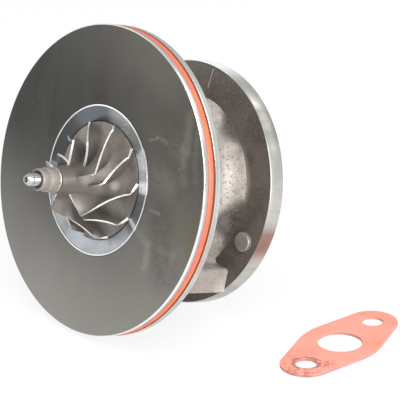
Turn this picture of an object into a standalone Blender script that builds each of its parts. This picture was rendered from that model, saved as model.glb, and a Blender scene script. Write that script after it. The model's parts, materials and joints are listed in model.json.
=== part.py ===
# Turbo cartridge: the bearing housing of a small turbocharger with its rotor, seals and bearings,
# lying on both rims with its nose up, and the gasket of its oil drain lying beside it.
# All sizes are in metres. In the cartridge's own axes Z is the rotor axis, towards the nose,
# Y points up and X to the right seen from the nose, and Z is 0 at the front face of the big disc.

import math

import bmesh
import bpy
from mathutils import Matrix, Vector

for old in list(bpy.data.objects):
    bpy.data.objects.remove(old, do_unlink=True)

# Clearances
SEAT_GAP = 0.0002  # between faces that touch on the real cartridge
FIT_GAP = 0.00015  # round a piece that sits in or on another
RUNNING_GAP = 0.00012  # round a turning piece

# Facets of the round pieces
RIM_FACETS = 60
RING_FACETS = 36
SMALL_FACETS = 24

# Compressor-side disc of the housing
DISC_RADIUS = 0.0540
DISC_THICKNESS = 0.0078
EDGE_CHAMFER = 0.0005
FRONT_LAND = 0.0016
O_RING_SECTION = 0.0032
O_RING_SIDE_GAP = 0.00012
DISC_CONE_RADIUS = 0.0370
DISC_CONE_HEIGHT = 0.0030

# Neck of the housing
BARREL_RADIUS = 0.0255
NECK_FILLET = 0.0065
INLET_BOSS_RADIUS = 0.0085
INLET_BOSS_TOP = 0.0340
INLET_PORT_RADIUS = 0.0043
INLET_PORT_DEPTH = 0.0090
OIL_GALLERY_RADIUS = 0.0015

# Turbine-side flange of the housing
FLANGE_FRONT = 0.0414
FLANGE_THICKNESS = 0.0061
FLANGE_RADIUS = 0.0435
HOUSING_NOSE_RADIUS = 0.0135
HOUSING_NOSE_LENGTH = 0.0030
DOWEL_RADIUS = 0.0035
DOWEL_PROUD = 0.0015
DOWEL_DEPTH = 0.0046
DOWEL_X = 0.0351
DOWEL_Y = -0.0120

# Drain flange under the neck
DRAIN_HALF_LENGTH = 0.0297
DRAIN_FRONT = 0.0114
DRAIN_THICKNESS = 0.0065
DRAIN_DROP = 0.0320
DRAIN_CORNER = 0.0025
DRAIN_PORT_RADIUS = 0.0078
DRAIN_PORT_PLACE = 0.0250
DRAIN_CHAMBER_HALF_WIDTH = 0.0068
DRAIN_CHAMBER_FLOOR = 0.0268
DRAIN_BOLT_SPACING = 0.0420
DRAIN_BOLT_RADIUS = 0.0030
WEB_TOP_HALF_WIDTH = 0.0150
WEB_FOOT_HALF_WIDTH = 0.0190
WEB_FRONT = 0.0130
WEB_REAR = 0.0385
WEB_CORNER = 0.0030
WAIST_HALF_WIDTH = 0.0262
WAIST_TOP = 0.0040
WAIST_FOOT = 0.0230

# Seal plate in the middle of the disc
SEAL_PLATE_RADIUS = 0.0262
SEAL_PLATE_THICKNESS = 0.0060
SEAL_PLATE_CHAMFER = 0.0002
SEAL_PLATE_LIP_WIDTH = 0.0006
SEAL_PLATE_LIP_HEIGHT = 0.0003
SEAL_PLATE_DISH = 0.0010
WHEEL_RECESS_DEPTH = 0.0017
WHEEL_RECESS_GAP = 0.0004
FLINGER_RECESS_RADIUS = 0.0108
FLINGER_RECESS_DEPTH = 0.0017
SEAL_BORE_RADIUS = 0.0059
PLATE_RING_SECTION = 0.0013
PLATE_RING_PLACE = 0.0037

# Thrust bearing and what lies round it
THRUST_CHAMBER_RADIUS = 0.0170
THRUST_PLATE_THICKNESS = 0.0034
THRUST_BORE_RADIUS = 0.0051
THRUST_PIN_RADIUS = 0.0012
THRUST_PIN_X = 0.0115
THRUST_PIN_Y = 0.0040
THRUST_PIN_DEPTH = 0.0030
THRUST_NOTCH_HALF_WIDTH = 0.0045
THRUST_NOTCH_TOP = 0.0090
BAFFLE_THICKNESS = 0.0008
BAFFLE_HOLE_RADIUS = 0.0092
BAFFLE_TONGUE_LENGTH = 0.0035
THRUST_RUN_GAP = 0.0002

# Shaft and the pieces on it
STUB_RADIUS = 0.0024
THREAD_RADIUS = 0.0022
JOURNAL_RADIUS = 0.0035
WAIST_RADIUS = 0.0031
SEAL_HUB_RADIUS = 0.0069
WELD_BOSS_RADIUS = 0.0056
SHAFT_END = 0.0315
SHAFT_END_CHAMFER = 0.0006
CENTRE_MARK_RADIUS = 0.0006
COLLAR_HUB_RADIUS = 0.0049
COLLAR_FLANGE_RADIUS = 0.0080
COLLAR_FLANGE_THICKNESS = 0.0020
BUSH_BARREL_RADIUS = 0.0056
BUSH_FLANGE_RADIUS = 0.0080
BUSH_FLANGE_THICKNESS = 0.0011
FLINGER_RADIUS = 0.0084
FLINGER_THICKNESS = 0.0008
PISTON_RING_THICKNESS = 0.0009
PISTON_RING_DEPTH = 0.0012
PISTON_RING_SPLIT = 0.0006

# Journal bearings
BEARING_LENGTH = 0.0064
BEARING_RADIUS = 0.0062
BEARING_CHAMFER = 0.0004
BEARING_HOLE_RADIUS = 0.0008
BEARING_END_FLOAT = 0.0003
BEARING_BORE_LENGTH = 0.0246
CIRCLIP_THICKNESS = 0.0008
CIRCLIP_DEPTH = 0.0006
CIRCLIP_WIDTH = 0.0014
OIL_CAVITY_RADIUS = 0.0150

# Compressor wheel
WHEEL_RADIUS = 0.0203
WHEEL_RIM_THICKNESS = 0.0006
WHEEL_HUB_FRONT = 0.0190
WHEEL_HUB_TOP_RADIUS = 0.0046
WHEEL_HUB_RADIUS = 0.0053
WHEEL_HUB_FLARE = 0.0140
WHEEL_EYE_RADIUS = 0.0138
WHEEL_EYE_FRONT = 0.0126
WHEEL_TIP_WIDTH = 0.0028
WHEEL_BLADES = 5
WHEEL_BLADE_THICKNESS = 0.0006
WHEEL_HUB_RISE = 0.85
WHEEL_HUB_SPREAD = 1.15
WHEEL_TIP_RISE = 0.46
WHEEL_TIP_SPREAD = 1.97
WHEEL_PHASE = math.radians(11.6)
WHEEL_EXIT_LEAN = math.radians(9.7)
WHEEL_HUB_WRAP = math.radians(62.9)
WHEEL_TIP_WRAP = math.radians(49.7)
WHEEL_HUB_BEND = 0.49
WHEEL_TIP_BEND = 1.49
SPLITTER_HUB_START = 0.25
SPLITTER_TIP_START = 0.42

# Nut
NUT_LENGTH = 0.0088
NUT_RADIUS = 0.00425
NUT_ACROSS_FLATS = 0.0079
NUT_COLLAR_LENGTH = 0.0056
NUT_COLLAR_RADIUS = 0.0043

# Turbine wheel and heat shield
TURBINE_RADIUS = 0.0184
TURBINE_DISC_RADIUS = 0.0150
TURBINE_DISC_THICKNESS = 0.0010
TURBINE_LENGTH = 0.0152
TURBINE_EXIT_RADIUS = 0.0158
TURBINE_INLET_WIDTH = 0.0058
TURBINE_NOSE_RADIUS = 0.0041
TURBINE_HEX_RADIUS = 0.0036
TURBINE_HEX_LENGTH = 0.0022
TURBINE_BOSS_RADIUS = 0.0076
TURBINE_BLADES = 11
TURBINE_BLADE_THICKNESS = 0.0009
TURBINE_TWIST = math.radians(52.0)
SHIELD_THICKNESS = 0.0008
SHIELD_FLANGE_RADIUS = 0.0235
SHIELD_RECESS_DEPTH = 0.0012
SHIELD_CUP_RADIUS = 0.0192
SHIELD_DEPTH = 0.0054
SHIELD_HOLE_RADIUS = 0.0094
SHIELD_TAPER = 0.0014
SHIELD_TO_WHEEL = 0.0008

# Drain gasket on the ground beside the cartridge
GASKET_THICKNESS = 0.0010
GASKET_END_RADIUS = 0.0090
GASKET_WAIST_RADIUS = 0.0140
GASKET_BOLT_RADIUS = 0.00375
GASKET_TURN = math.radians(12.45)
GASKET_X = 0.0689
GASKET_Y = 0.0515

# Places along the axis, from the sizes above
groove_front = -FRONT_LAND
groove_rear = groove_front - O_RING_SECTION - 2 * O_RING_SIDE_GAP
groove_radius = DISC_RADIUS - O_RING_SECTION - O_RING_SIDE_GAP
disc_rear = -DISC_THICKNESS
flange_front = -FLANGE_FRONT
flange_rear = flange_front - FLANGE_THICKNESS
nose_rear = flange_rear - HOUSING_NOSE_LENGTH
plate_seat = -SEAL_PLATE_THICKNESS - SEAT_GAP
baffle_rear = plate_seat - BAFFLE_THICKNESS
thrust_front = baffle_rear - SEAT_GAP - BUSH_FLANGE_THICKNESS
thrust_rear = thrust_front - THRUST_PLATE_THICKNESS
chamber_floor = thrust_rear - SEAT_GAP
collar_front = thrust_rear - THRUST_RUN_GAP
collar_rear = collar_front - COLLAR_FLANGE_THICKNESS
shoulder = collar_rear - SEAT_GAP
bore_front = collar_rear - BEARING_END_FLOAT
bore_rear = bore_front - BEARING_BORE_LENGTH
front_bearing = bore_front - BEARING_END_FLOAT
front_circlip = front_bearing - BEARING_LENGTH - BEARING_END_FLOAT
rear_circlip = bore_rear + BEARING_END_FLOAT + CIRCLIP_THICKNESS
rear_bearing = rear_circlip + BEARING_END_FLOAT + BEARING_LENGTH
middle_circlip = rear_bearing + BEARING_END_FLOAT + CIRCLIP_THICKNESS
bearing_bore = BEARING_RADIUS + RUNNING_GAP
circlip_groove = bearing_bore + CIRCLIP_DEPTH
cavity_front = front_circlip - CIRCLIP_THICKNESS - BEARING_END_FLOAT
cavity_rear = middle_circlip + BEARING_END_FLOAT
seal_chamber_rear = bore_rear - 0.0020
hub_bore = SEAL_HUB_RADIUS + RUNNING_GAP + FIT_GAP
hub_front = bore_rear - BEARING_END_FLOAT
wheel_back = -WHEEL_RECESS_DEPTH + WHEEL_RECESS_GAP
wheel_rim_front = wheel_back + WHEEL_RIM_THICKNESS
bush_front = wheel_back - SEAT_GAP
bush_rear = thrust_front + THRUST_RUN_GAP
shield_seat = flange_rear + SHIELD_RECESS_DEPTH
shield_front = shield_seat - SEAT_GAP
turbine_disc_front = shield_front - SHIELD_DEPTH - SHIELD_TO_WHEEL
shaft_rear = turbine_disc_front + SEAT_GAP
drain_z = -DRAIN_PORT_PLACE

# How the cartridge rests: both rims touch the ground, each on one flat facet
rim_corner = 1 / math.cos(math.pi / RIM_FACETS)
front_edge = DISC_THICKNESS - EDGE_CHAMFER
rear_edge = FLANGE_FRONT + FLANGE_THICKNESS - EDGE_CHAMFER
TILT = math.atan((DISC_RADIUS - FLANGE_RADIUS) / (rear_edge - front_edge))
axis_height = DISC_RADIUS * math.cos(TILT) + front_edge * math.sin(TILT)

# The ground point under the middle of everything
gasket_end_x = GASKET_X + DRAIN_BOLT_SPACING / 2 * math.sin(GASKET_TURN)
gasket_end_y = GASKET_Y + DRAIN_BOLT_SPACING / 2 * math.cos(GASKET_TURN)
most_x = max(gasket_end_x + GASKET_END_RADIUS, GASKET_X + GASKET_WAIST_RADIUS)
least_x = -DISC_RADIUS
most_y = gasket_end_y + GASKET_END_RADIUS
thread_drop = (THREAD_RADIUS - SHAFT_END_CHAMFER) * math.sin(TILT)
least_y = -SHAFT_END * math.cos(TILT) - thread_drop
middle_x = (least_x + most_x) / 2
middle_y = (least_y + most_y) / 2

parts = bpy.data.collections.new("turbo_cartridge")
cutters = bpy.data.collections.new("cutters")
bpy.context.scene.collection.children.link(parts)
bpy.context.scene.collection.children.link(cutters)
cutters.hide_render = True

stance = bpy.data.objects.new("cartridge_axis", None)
stance.location = (-middle_x, -middle_y, axis_height)
stance.rotation_euler = (math.pi / 2 - TILT, 0, 0)
parts.objects.link(stance)

finishes = {}


def finish(name, colour, roughness, metallic):
    made = bpy.data.materials.new(name)
    made.use_nodes = True
    shader = made.node_tree.nodes["Principled BSDF"]
    shader.inputs["Base Color"].default_value = (*colour, 1)
    shader.inputs["Roughness"].default_value = roughness
    shader.inputs["Metallic"].default_value = metallic
    made.diffuse_color = (*colour, 1)
    finishes[name] = made


finish("cast_iron", (0.20, 0.17, 0.15), 0.55, 0.9)
finish("machined_plate", (0.62, 0.65, 0.68), 0.25, 1.0)
finish("cast_aluminium", (0.42, 0.37, 0.34), 0.38, 1.0)
finish("ground_steel", (0.70, 0.70, 0.69), 0.2, 1.0)
finish("nut_steel", (0.50, 0.46, 0.41), 0.35, 1.0)
finish("orange_rubber", (1.0, 0.21, 0.08), 0.5, 0.0)
finish("black_rubber", (0.03, 0.03, 0.03), 0.6, 0.0)
finish("bronze", (0.55, 0.36, 0.16), 0.35, 1.0)
finish("spring_steel", (0.30, 0.30, 0.31), 0.35, 1.0)
finish("nickel_alloy", (0.33, 0.30, 0.28), 0.45, 1.0)
finish("shield_steel", (0.45, 0.42, 0.38), 0.35, 1.0)
finish("gasket_sheet", (1.0, 0.39, 0.30), 0.7, 0.0)


def place(name, mesh, group, parent=stance):
    piece = bpy.data.objects.new(name, mesh)
    piece.parent = parent
    group.objects.link(piece)
    if group is cutters:
        piece.hide_render = True
        piece.display_type = "WIRE"
    return piece


def turned(name, profile, facets, group=parts, loop=True, turn=0.0):
    """A piece turned round the axis from (radius, height) points, down its outer side."""
    bm = bmesh.new()
    corners = [bm.verts.new((radius, 0, height)) for radius, height in profile]
    for first, second in zip(corners, corners[1:]):
        bm.edges.new((first, second))
    if loop:
        bm.edges.new((corners[-1], corners[0]))
    mesh = bpy.data.meshes.new(name)
    bm.to_mesh(mesh)
    bm.free()
    piece = place(name, mesh, group)
    piece.rotation_euler.z = turn
    screw = piece.modifiers.new("turned", "SCREW")
    screw.steps = facets
    screw.render_steps = facets
    screw.use_merge_vertices = True
    screw.merge_threshold = 0.000001
    return piece


def ring_profile(inner, outer, front, rear, chamfer=0.0):
    """The section of a plain ring, with both outer edges chamfered if asked."""
    if not chamfer:
        return [(inner, front), (outer, front), (outer, rear), (inner, rear)]
    return [
        (inner, front),
        (outer - chamfer, front),
        (outer, front - chamfer),
        (outer, rear + chamfer),
        (outer - chamfer, rear),
        (inner, rear),
    ]


def quarter(centre_r, centre_z, radius, start, end, steps=4):
    """Points of an arc, its angles in degrees from +radius towards +Z."""
    turns = [math.radians(start + (end - start) * k / steps) for k in range(steps + 1)]
    return [(centre_r + radius * math.cos(a), centre_z + radius * math.sin(a)) for a in turns]


def rod(name, radius, start, end, facets, group=parts, chamfer=0.0):
    """A cylinder between two points, its two end edges bevelled if asked."""
    start, end = Vector(start), Vector(end)
    way = end - start
    bm = bmesh.new()
    bmesh.ops.create_cone(
        bm, cap_ends=True, segments=facets, radius1=radius, radius2=radius, depth=way.length
    )
    if chamfer:
        rims = [e for e in bm.edges if abs(e.verts[0].co.z - e.verts[1].co.z) < 1e-9]
        bmesh.ops.bevel(bm, geom=rims, offset=chamfer, segments=1, affect="EDGES")
    turn = way.to_track_quat("Z", "Y").to_matrix().to_4x4()
    bmesh.ops.transform(bm, matrix=Matrix.Translation((start + end) / 2) @ turn, verts=bm.verts)
    mesh = bpy.data.meshes.new(name)
    bm.to_mesh(mesh)
    bm.free()
    return place(name, mesh, group)


def block(name, low, high, group, corner=0.0, along=None, steps=3):
    """A box from its lowest to its highest corner, with the edges along one axis rounded."""
    low, high = Vector(low), Vector(high)
    bm = bmesh.new()
    bmesh.ops.create_cube(bm, size=1)
    size = high - low
    bmesh.ops.scale(bm, vec=size, verts=bm.verts)
    bmesh.ops.translate(bm, vec=(low + high) / 2, verts=bm.verts)
    if corner:
        lines = [e for e in bm.edges if abs((e.verts[0].co - e.verts[1].co)[along]) > 1e-9]
        bmesh.ops.bevel(bm, geom=lines, offset=corner, segments=steps, affect="EDGES")
    mesh = bpy.data.meshes.new(name)
    bm.to_mesh(mesh)
    bm.free()
    return place(name, mesh, group)


def doughnut(name, centre_radius, section_radius, height, facets, sides, group=parts):
    """A round-section ring about the axis."""
    bpy.ops.mesh.primitive_torus_add(
        major_radius=centre_radius,
        minor_radius=section_radius,
        major_segments=facets,
        minor_segments=sides,
    )
    piece = bpy.context.object
    for holder in list(piece.users_collection):
        holder.objects.unlink(piece)
    piece.name = name
    piece.parent = stance
    piece.location = (0, 0, height)
    group.objects.link(piece)
    return piece


def combine(piece, tool, operation):
    step = piece.modifiers.new(tool.name, "BOOLEAN")
    step.operation = operation
    step.object = tool
    step.solver = "EXACT"


def cut(piece, tool):
    combine(piece, tool, "DIFFERENCE")


def add(piece, tool):
    combine(piece, tool, "UNION")


def dress(piece, finish_name):
    """Turns the modifiers into the mesh, shades round faces smooth and gives the finish."""
    bpy.context.view_layer.update()
    graph = bpy.context.evaluated_depsgraph_get()
    mesh = bpy.data.meshes.new_from_object(piece.evaluated_get(graph))
    piece.modifiers.clear()
    piece.data = mesh
    mesh.shade_smooth()
    mesh.set_sharp_from_angle(angle=math.radians(32))
    mesh.materials.clear()
    mesh.materials.append(finishes[finish_name])


# Bearing housing: one casting with the disc, neck, turbine flange and drain flange
def make_housing():
    neck_front = disc_rear - DISC_CONE_HEIGHT
    fillet_rear = flange_front + NECK_FILLET
    fillet_front = neck_front - NECK_FILLET
    disc = DISC_RADIUS * rim_corner
    rim = FLANGE_RADIUS * rim_corner
    body = [
        (0, 0),
        (disc - EDGE_CHAMFER, 0),
        (disc, -EDGE_CHAMFER),
        (disc, groove_front),
        (groove_radius, groove_front),
        (groove_radius, groove_rear),
        (disc, groove_rear),
        (disc, disc_rear + EDGE_CHAMFER),
        (disc - EDGE_CHAMFER, disc_rear),
        (DISC_CONE_RADIUS, disc_rear),
    ]
    body += quarter(BARREL_RADIUS + NECK_FILLET, fillet_front, NECK_FILLET, 90, 180)
    body += quarter(BARREL_RADIUS + NECK_FILLET, fillet_rear, NECK_FILLET, 180, 270)
    body += [
        (rim - EDGE_CHAMFER, flange_front),
        (rim, flange_front - EDGE_CHAMFER),
        (rim, flange_rear + EDGE_CHAMFER),
        (rim - EDGE_CHAMFER, flange_rear),
        (SHIELD_FLANGE_RADIUS + FIT_GAP, flange_rear),
        (SHIELD_FLANGE_RADIUS + FIT_GAP, shield_seat),
        (HOUSING_NOSE_RADIUS, shield_seat),
        (HOUSING_NOSE_RADIUS, nose_rear),
        (0, nose_rear),
    ]
    half_facet = math.pi / RIM_FACETS
    housing = turned("bearing_housing", body, RIM_FACETS, loop=False, turn=half_facet)

    flange_overlap = flange_front - FLANGE_THICKNESS / 2
    drain_top = DRAIN_THICKNESS - DRAIN_DROP
    drain_pad = block(
        "drain_pad",
        (-DRAIN_HALF_LENGTH, -DRAIN_DROP, flange_overlap),
        (DRAIN_HALF_LENGTH, drain_top, -DRAIN_FRONT),
        cutters,
        DRAIN_CORNER,
        1,
    )
    web = block(
        "drain_web",
        (-WEB_FOOT_HALF_WIDTH, drain_top - DRAIN_THICKNESS / 2, -WEB_REAR),
        (WEB_FOOT_HALF_WIDTH, 0, -WEB_FRONT),
        cutters,
    )
    for corner in web.data.vertices:
        if corner.co.y > -WEB_CORNER:
            corner.co.x *= WEB_TOP_HALF_WIDTH / WEB_FOOT_HALF_WIDTH
    rounding = web.modifiers.new("rounded", "BEVEL")
    rounding.width = WEB_CORNER
    rounding.segments = 3
    inlet_z = -DRAIN_PORT_PLACE
    boss = rod(
        "inlet_boss",
        INLET_BOSS_RADIUS,
        (0, BARREL_RADIUS / 2, inlet_z),
        (0, INLET_BOSS_TOP, inlet_z),
        SMALL_FACETS,
        cutters,
        EDGE_CHAMFER,
    )
    for side in (-1, 1):
        waist_inner = side * WAIST_HALF_WIDTH
        waist_outer = side * (BARREL_RADIUS + NECK_FILLET + WEB_CORNER)
        waist = block(
            f"neck_waist_{side}",
            (min(waist_inner, waist_outer), -WAIST_FOOT, flange_front + SEAT_GAP),
            (max(waist_inner, waist_outer), -WAIST_TOP, neck_front - SEAT_GAP),
            cutters,
            WEB_CORNER,
            2,
        )
        cut(housing, waist)
    for tool in (drain_pad, web, boss):
        add(housing, tool)

    past = 0.001
    front_recess = [
        (0, past),
        (SEAL_PLATE_RADIUS + FIT_GAP, past),
        (SEAL_PLATE_RADIUS + FIT_GAP, plate_seat),
        (THRUST_CHAMBER_RADIUS, plate_seat),
        (THRUST_CHAMBER_RADIUS, chamber_floor),
        (0, chamber_floor),
    ]
    bore = [
        (0, chamber_floor + past),
        (COLLAR_FLANGE_RADIUS + 5 * FIT_GAP, chamber_floor + past),
        (COLLAR_FLANGE_RADIUS + 5 * FIT_GAP, bore_front),
        (bearing_bore, bore_front),
    ]
    for front in (front_circlip, middle_circlip, rear_circlip):
        rear = front - CIRCLIP_THICKNESS
        bore += [
            (bearing_bore, front + SEAT_GAP),
            (circlip_groove, front + SEAT_GAP),
            (circlip_groove, rear - SEAT_GAP),
            (bearing_bore, rear - SEAT_GAP),
        ]
        if front == front_circlip:
            bore += [
                (bearing_bore, cavity_front - SEAT_GAP),
                (OIL_CAVITY_RADIUS, cavity_front - SEAT_GAP),
                (OIL_CAVITY_RADIUS, cavity_rear + 2 * SEAT_GAP),
                (bearing_bore, cavity_rear + 2 * SEAT_GAP),
            ]
    chamber = hub_bore + CIRCLIP_WIDTH
    bore += [
        (bearing_bore, bore_rear),
        (chamber, bore_rear),
        (chamber, seal_chamber_rear),
        (hub_bore, seal_chamber_rear),
        (hub_bore, nose_rear - past),
        (0, nose_rear - past),
    ]
    tools = [
        turned("front_recess", front_recess, RING_FACETS, cutters, loop=False),
        turned("centre_bore", bore, SMALL_FACETS, cutters, loop=False),
    ]
    tools.append(
        block(
            "drain_chamber",
            (-DRAIN_CHAMBER_HALF_WIDTH, -DRAIN_CHAMBER_FLOOR, seal_chamber_rear + past),
            (DRAIN_CHAMBER_HALF_WIDTH, -bearing_bore / 2, chamber_floor + past),
            cutters,
            WEB_CORNER,
            2,
        )
    )
    ground = -DRAIN_DROP - past
    tools.append(
        rod(
            "drain_port",
            DRAIN_PORT_RADIUS,
            (0, ground, drain_z),
            (0, -DRAIN_CHAMBER_FLOOR + 2 * WEB_CORNER, drain_z),
            SMALL_FACETS,
            cutters,
        )
    )
    for side in (-1, 1):
        x = side * DRAIN_BOLT_SPACING / 2
        tools.append(
            rod(
                f"drain_bolt_hole_{side}",
                DRAIN_BOLT_RADIUS,
                (x, ground, drain_z),
                (x, drain_top + past, drain_z),
                16,
                cutters,
            )
        )
        pin_x = side * THRUST_PIN_X
        tools.append(
            rod(
                f"thrust_pin_hole_{side}",
                THRUST_PIN_RADIUS + FIT_GAP,
                (pin_x, THRUST_PIN_Y, chamber_floor + past),
                (pin_x, THRUST_PIN_Y, chamber_floor - THRUST_PIN_DEPTH),
                12,
                cutters,
            )
        )
    top = INLET_BOSS_TOP + past
    tools.append(
        rod(
            "inlet_port",
            INLET_PORT_RADIUS,
            (0, top, inlet_z),
            (0, INLET_BOSS_TOP - INLET_PORT_DEPTH, inlet_z),
            16,
            cutters,
        )
    )
    feed = (0, INLET_BOSS_TOP - INLET_PORT_DEPTH + past, inlet_z)
    for name, front in (("front_gallery", front_bearing), ("rear_gallery", rear_bearing)):
        spot = (0, BEARING_RADIUS / 2, front - BEARING_LENGTH / 2)
        tools.append(rod(name, OIL_GALLERY_RADIUS, feed, spot, 8, cutters))
    tools.append(
        rod(
            "dowel_hole",
            DOWEL_RADIUS + FIT_GAP,
            (DOWEL_X, DOWEL_Y, flange_front + past),
            (DOWEL_X, DOWEL_Y, flange_front - DOWEL_DEPTH - SEAT_GAP),
            24,
            cutters,
        )
    )
    for tool in tools:
        cut(housing, tool)
    dress(housing, "cast_iron")


# O-ring round the disc and the smaller one round the seal plate
def make_o_rings():
    section = O_RING_SECTION / 2
    centre = (DISC_RADIUS - section) * rim_corner
    height = (groove_front + groove_rear) / 2
    ring = doughnut("disc_o_ring", centre, section, height, RIM_FACETS, 8)
    ring.rotation_euler.z = math.pi / RIM_FACETS
    dress(ring, "orange_rubber")
    section = PLATE_RING_SECTION / 2
    centre = SEAL_PLATE_RADIUS - section - FIT_GAP / 2
    ring = doughnut(
        "seal_plate_o_ring", centre, section, -PLATE_RING_PLACE, RING_FACETS, 5
    )
    dress(ring, "black_rubber")


# Seal plate: it closes the disc behind the compressor wheel
def make_seal_plate():
    half = PLATE_RING_SECTION / 2 + O_RING_SIDE_GAP
    ring_floor = SEAL_PLATE_RADIUS - PLATE_RING_SECTION - FIT_GAP
    rear = -SEAL_PLATE_THICKNESS
    recess = WHEEL_RADIUS + WHEEL_RECESS_GAP
    lip = SEAL_PLATE_RADIUS - SEAL_PLATE_LIP_WIDTH
    profile = [
        (recess, -SEAL_PLATE_DISH),
        (lip, 0),
        (lip, SEAL_PLATE_LIP_HEIGHT),
        (SEAL_PLATE_RADIUS - SEAL_PLATE_CHAMFER, SEAL_PLATE_LIP_HEIGHT),
        (SEAL_PLATE_RADIUS, SEAL_PLATE_LIP_HEIGHT - SEAL_PLATE_CHAMFER),
        (SEAL_PLATE_RADIUS, -PLATE_RING_PLACE + half),
        (ring_floor, -PLATE_RING_PLACE + half),
        (ring_floor, -PLATE_RING_PLACE - half),
        (SEAL_PLATE_RADIUS, -PLATE_RING_PLACE - half),
        (SEAL_PLATE_RADIUS, rear),
        (FLINGER_RECESS_RADIUS, rear),
        (FLINGER_RECESS_RADIUS, rear + FLINGER_RECESS_DEPTH),
        (SEAL_BORE_RADIUS, rear + FLINGER_RECESS_DEPTH),
        (SEAL_BORE_RADIUS, -WHEEL_RECESS_DEPTH),
        (recess, -WHEEL_RECESS_DEPTH),
    ]
    dress(turned("seal_plate", profile, RING_FACETS), "machined_plate")


# Oil baffle: a thin ring with a bent tongue that throws the oil down
def make_baffle():
    front = plate_seat - SEAT_GAP / 2
    rear = baffle_rear
    outer = THRUST_CHAMBER_RADIUS - FIT_GAP
    baffle = turned(
        "oil_baffle", ring_profile(BAFFLE_HOLE_RADIUS, outer, front, rear), RING_FACETS
    )
    half = THRUST_NOTCH_HALF_WIDTH - 2 * FIT_GAP
    root = -(outer + BAFFLE_HOLE_RADIUS) / 2
    tongue = block(
        "baffle_tongue",
        (-half, root - BAFFLE_THICKNESS, rear - BAFFLE_TONGUE_LENGTH),
        (half, root, (front + rear) / 2),
        cutters,
    )
    add(baffle, tongue)
    dress(baffle, "spring_steel")


# Thrust bearing: a bronze plate on two pins, open at the bottom for the oil
def make_thrust_bearing():
    outer = THRUST_CHAMBER_RADIUS - FIT_GAP
    profile = ring_profile(THRUST_BORE_RADIUS, outer, thrust_front, thrust_rear)
    plate = turned("thrust_bearing", profile, RING_FACETS)
    notch = block(
        "thrust_notch",
        (-THRUST_NOTCH_HALF_WIDTH, -2 * outer, thrust_rear - SEAT_GAP),
        (THRUST_NOTCH_HALF_WIDTH, -THRUST_NOTCH_TOP, thrust_front + SEAT_GAP),
        cutters,
    )
    cut(plate, notch)
    for number, side in enumerate((-1, 1), 1):
        x = side * THRUST_PIN_X
        hole = rod(
            f"thrust_hole_{number}",
            THRUST_PIN_RADIUS + FIT_GAP,
            (x, THRUST_PIN_Y, thrust_rear - SEAT_GAP),
            (x, THRUST_PIN_Y, thrust_front + SEAT_GAP),
            12,
            cutters,
        )
        cut(plate, hole)
        pin = rod(
            f"thrust_pin_{number}",
            THRUST_PIN_RADIUS,
            (x, THRUST_PIN_Y, thrust_front),
            (x, THRUST_PIN_Y, chamber_floor - THRUST_PIN_DEPTH + SEAT_GAP),
            12,
        )
        dress(pin, "ground_steel")
    dress(plate, "bronze")


def split_ring(name, inner, outer, front, thickness, gap, turn, finish_name):
    """A sprung ring with a gap cut through one side."""
    ring = turned(name, ring_profile(inner, outer, front, front - thickness), SMALL_FACETS)
    slot = block(
        f"{name}_gap",
        (-gap / 2, 0, front - 2 * thickness),
        (gap / 2, 2 * outer, front + thickness),
        cutters,
    )
    slot.rotation_euler.z = turn
    cut(ring, slot)
    dress(ring, finish_name)


# Piston rings: sprung out into the still bores, in grooves of the turning pieces
def make_piston_rings():
    outer = SEAL_BORE_RADIUS - FIT_GAP / 2
    inner = BUSH_BARREL_RADIUS - PISTON_RING_DEPTH + FIT_GAP
    split_ring(
        "compressor_piston_ring",
        inner,
        outer,
        compressor_ring_front,
        PISTON_RING_THICKNESS,
        PISTON_RING_SPLIT,
        0.0,
        "spring_steel",
    )
    outer = hub_bore - FIT_GAP / 2
    inner = SEAL_HUB_RADIUS - PISTON_RING_DEPTH + FIT_GAP
    split_ring(
        "turbine_piston_ring",
        inner,
        outer,
        turbine_ring_front,
        PISTON_RING_THICKNESS,
        PISTON_RING_SPLIT,
        math.pi / 2,
        "spring_steel",
    )


# Bearing circlips: they hold the two journal bearings along the bore
def make_circlips():
    outer = circlip_groove - FIT_GAP / 2
    inner = outer - CIRCLIP_WIDTH
    places = {
        "bearing_circlip_front": front_circlip,
        "bearing_circlip_middle": middle_circlip,
        "bearing_circlip_rear": rear_circlip,
    }
    for name, front in places.items():
        split_ring(
            name, inner, outer, front, CIRCLIP_THICKNESS, 2 * CIRCLIP_WIDTH, 0.0, "spring_steel"
        )


# Journal bearings: floating bronze bushes with cross holes for the oil
def make_journal_bearings():
    inner = JOURNAL_RADIUS + RUNNING_GAP
    for name, front in (
        ("journal_bearing_front", front_bearing),
        ("journal_bearing_rear", rear_bearing),
    ):
        rear = front - BEARING_LENGTH
        profile = ring_profile(inner, BEARING_RADIUS, front, rear, BEARING_CHAMFER)
        bush = turned(name, profile, SMALL_FACETS)
        reach = 2 * BEARING_RADIUS
        middle = (front + rear) / 2
        for number, way in enumerate(((1, 0), (0, 1))):
            hole = rod(
                f"{name}_hole_{number}",
                BEARING_HOLE_RADIUS,
                (-reach * way[0], -reach * way[1], middle),
                (reach * way[0], reach * way[1], middle),
                8,
                cutters,
            )
            cut(bush, hole)
        dress(bush, "bronze")


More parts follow.
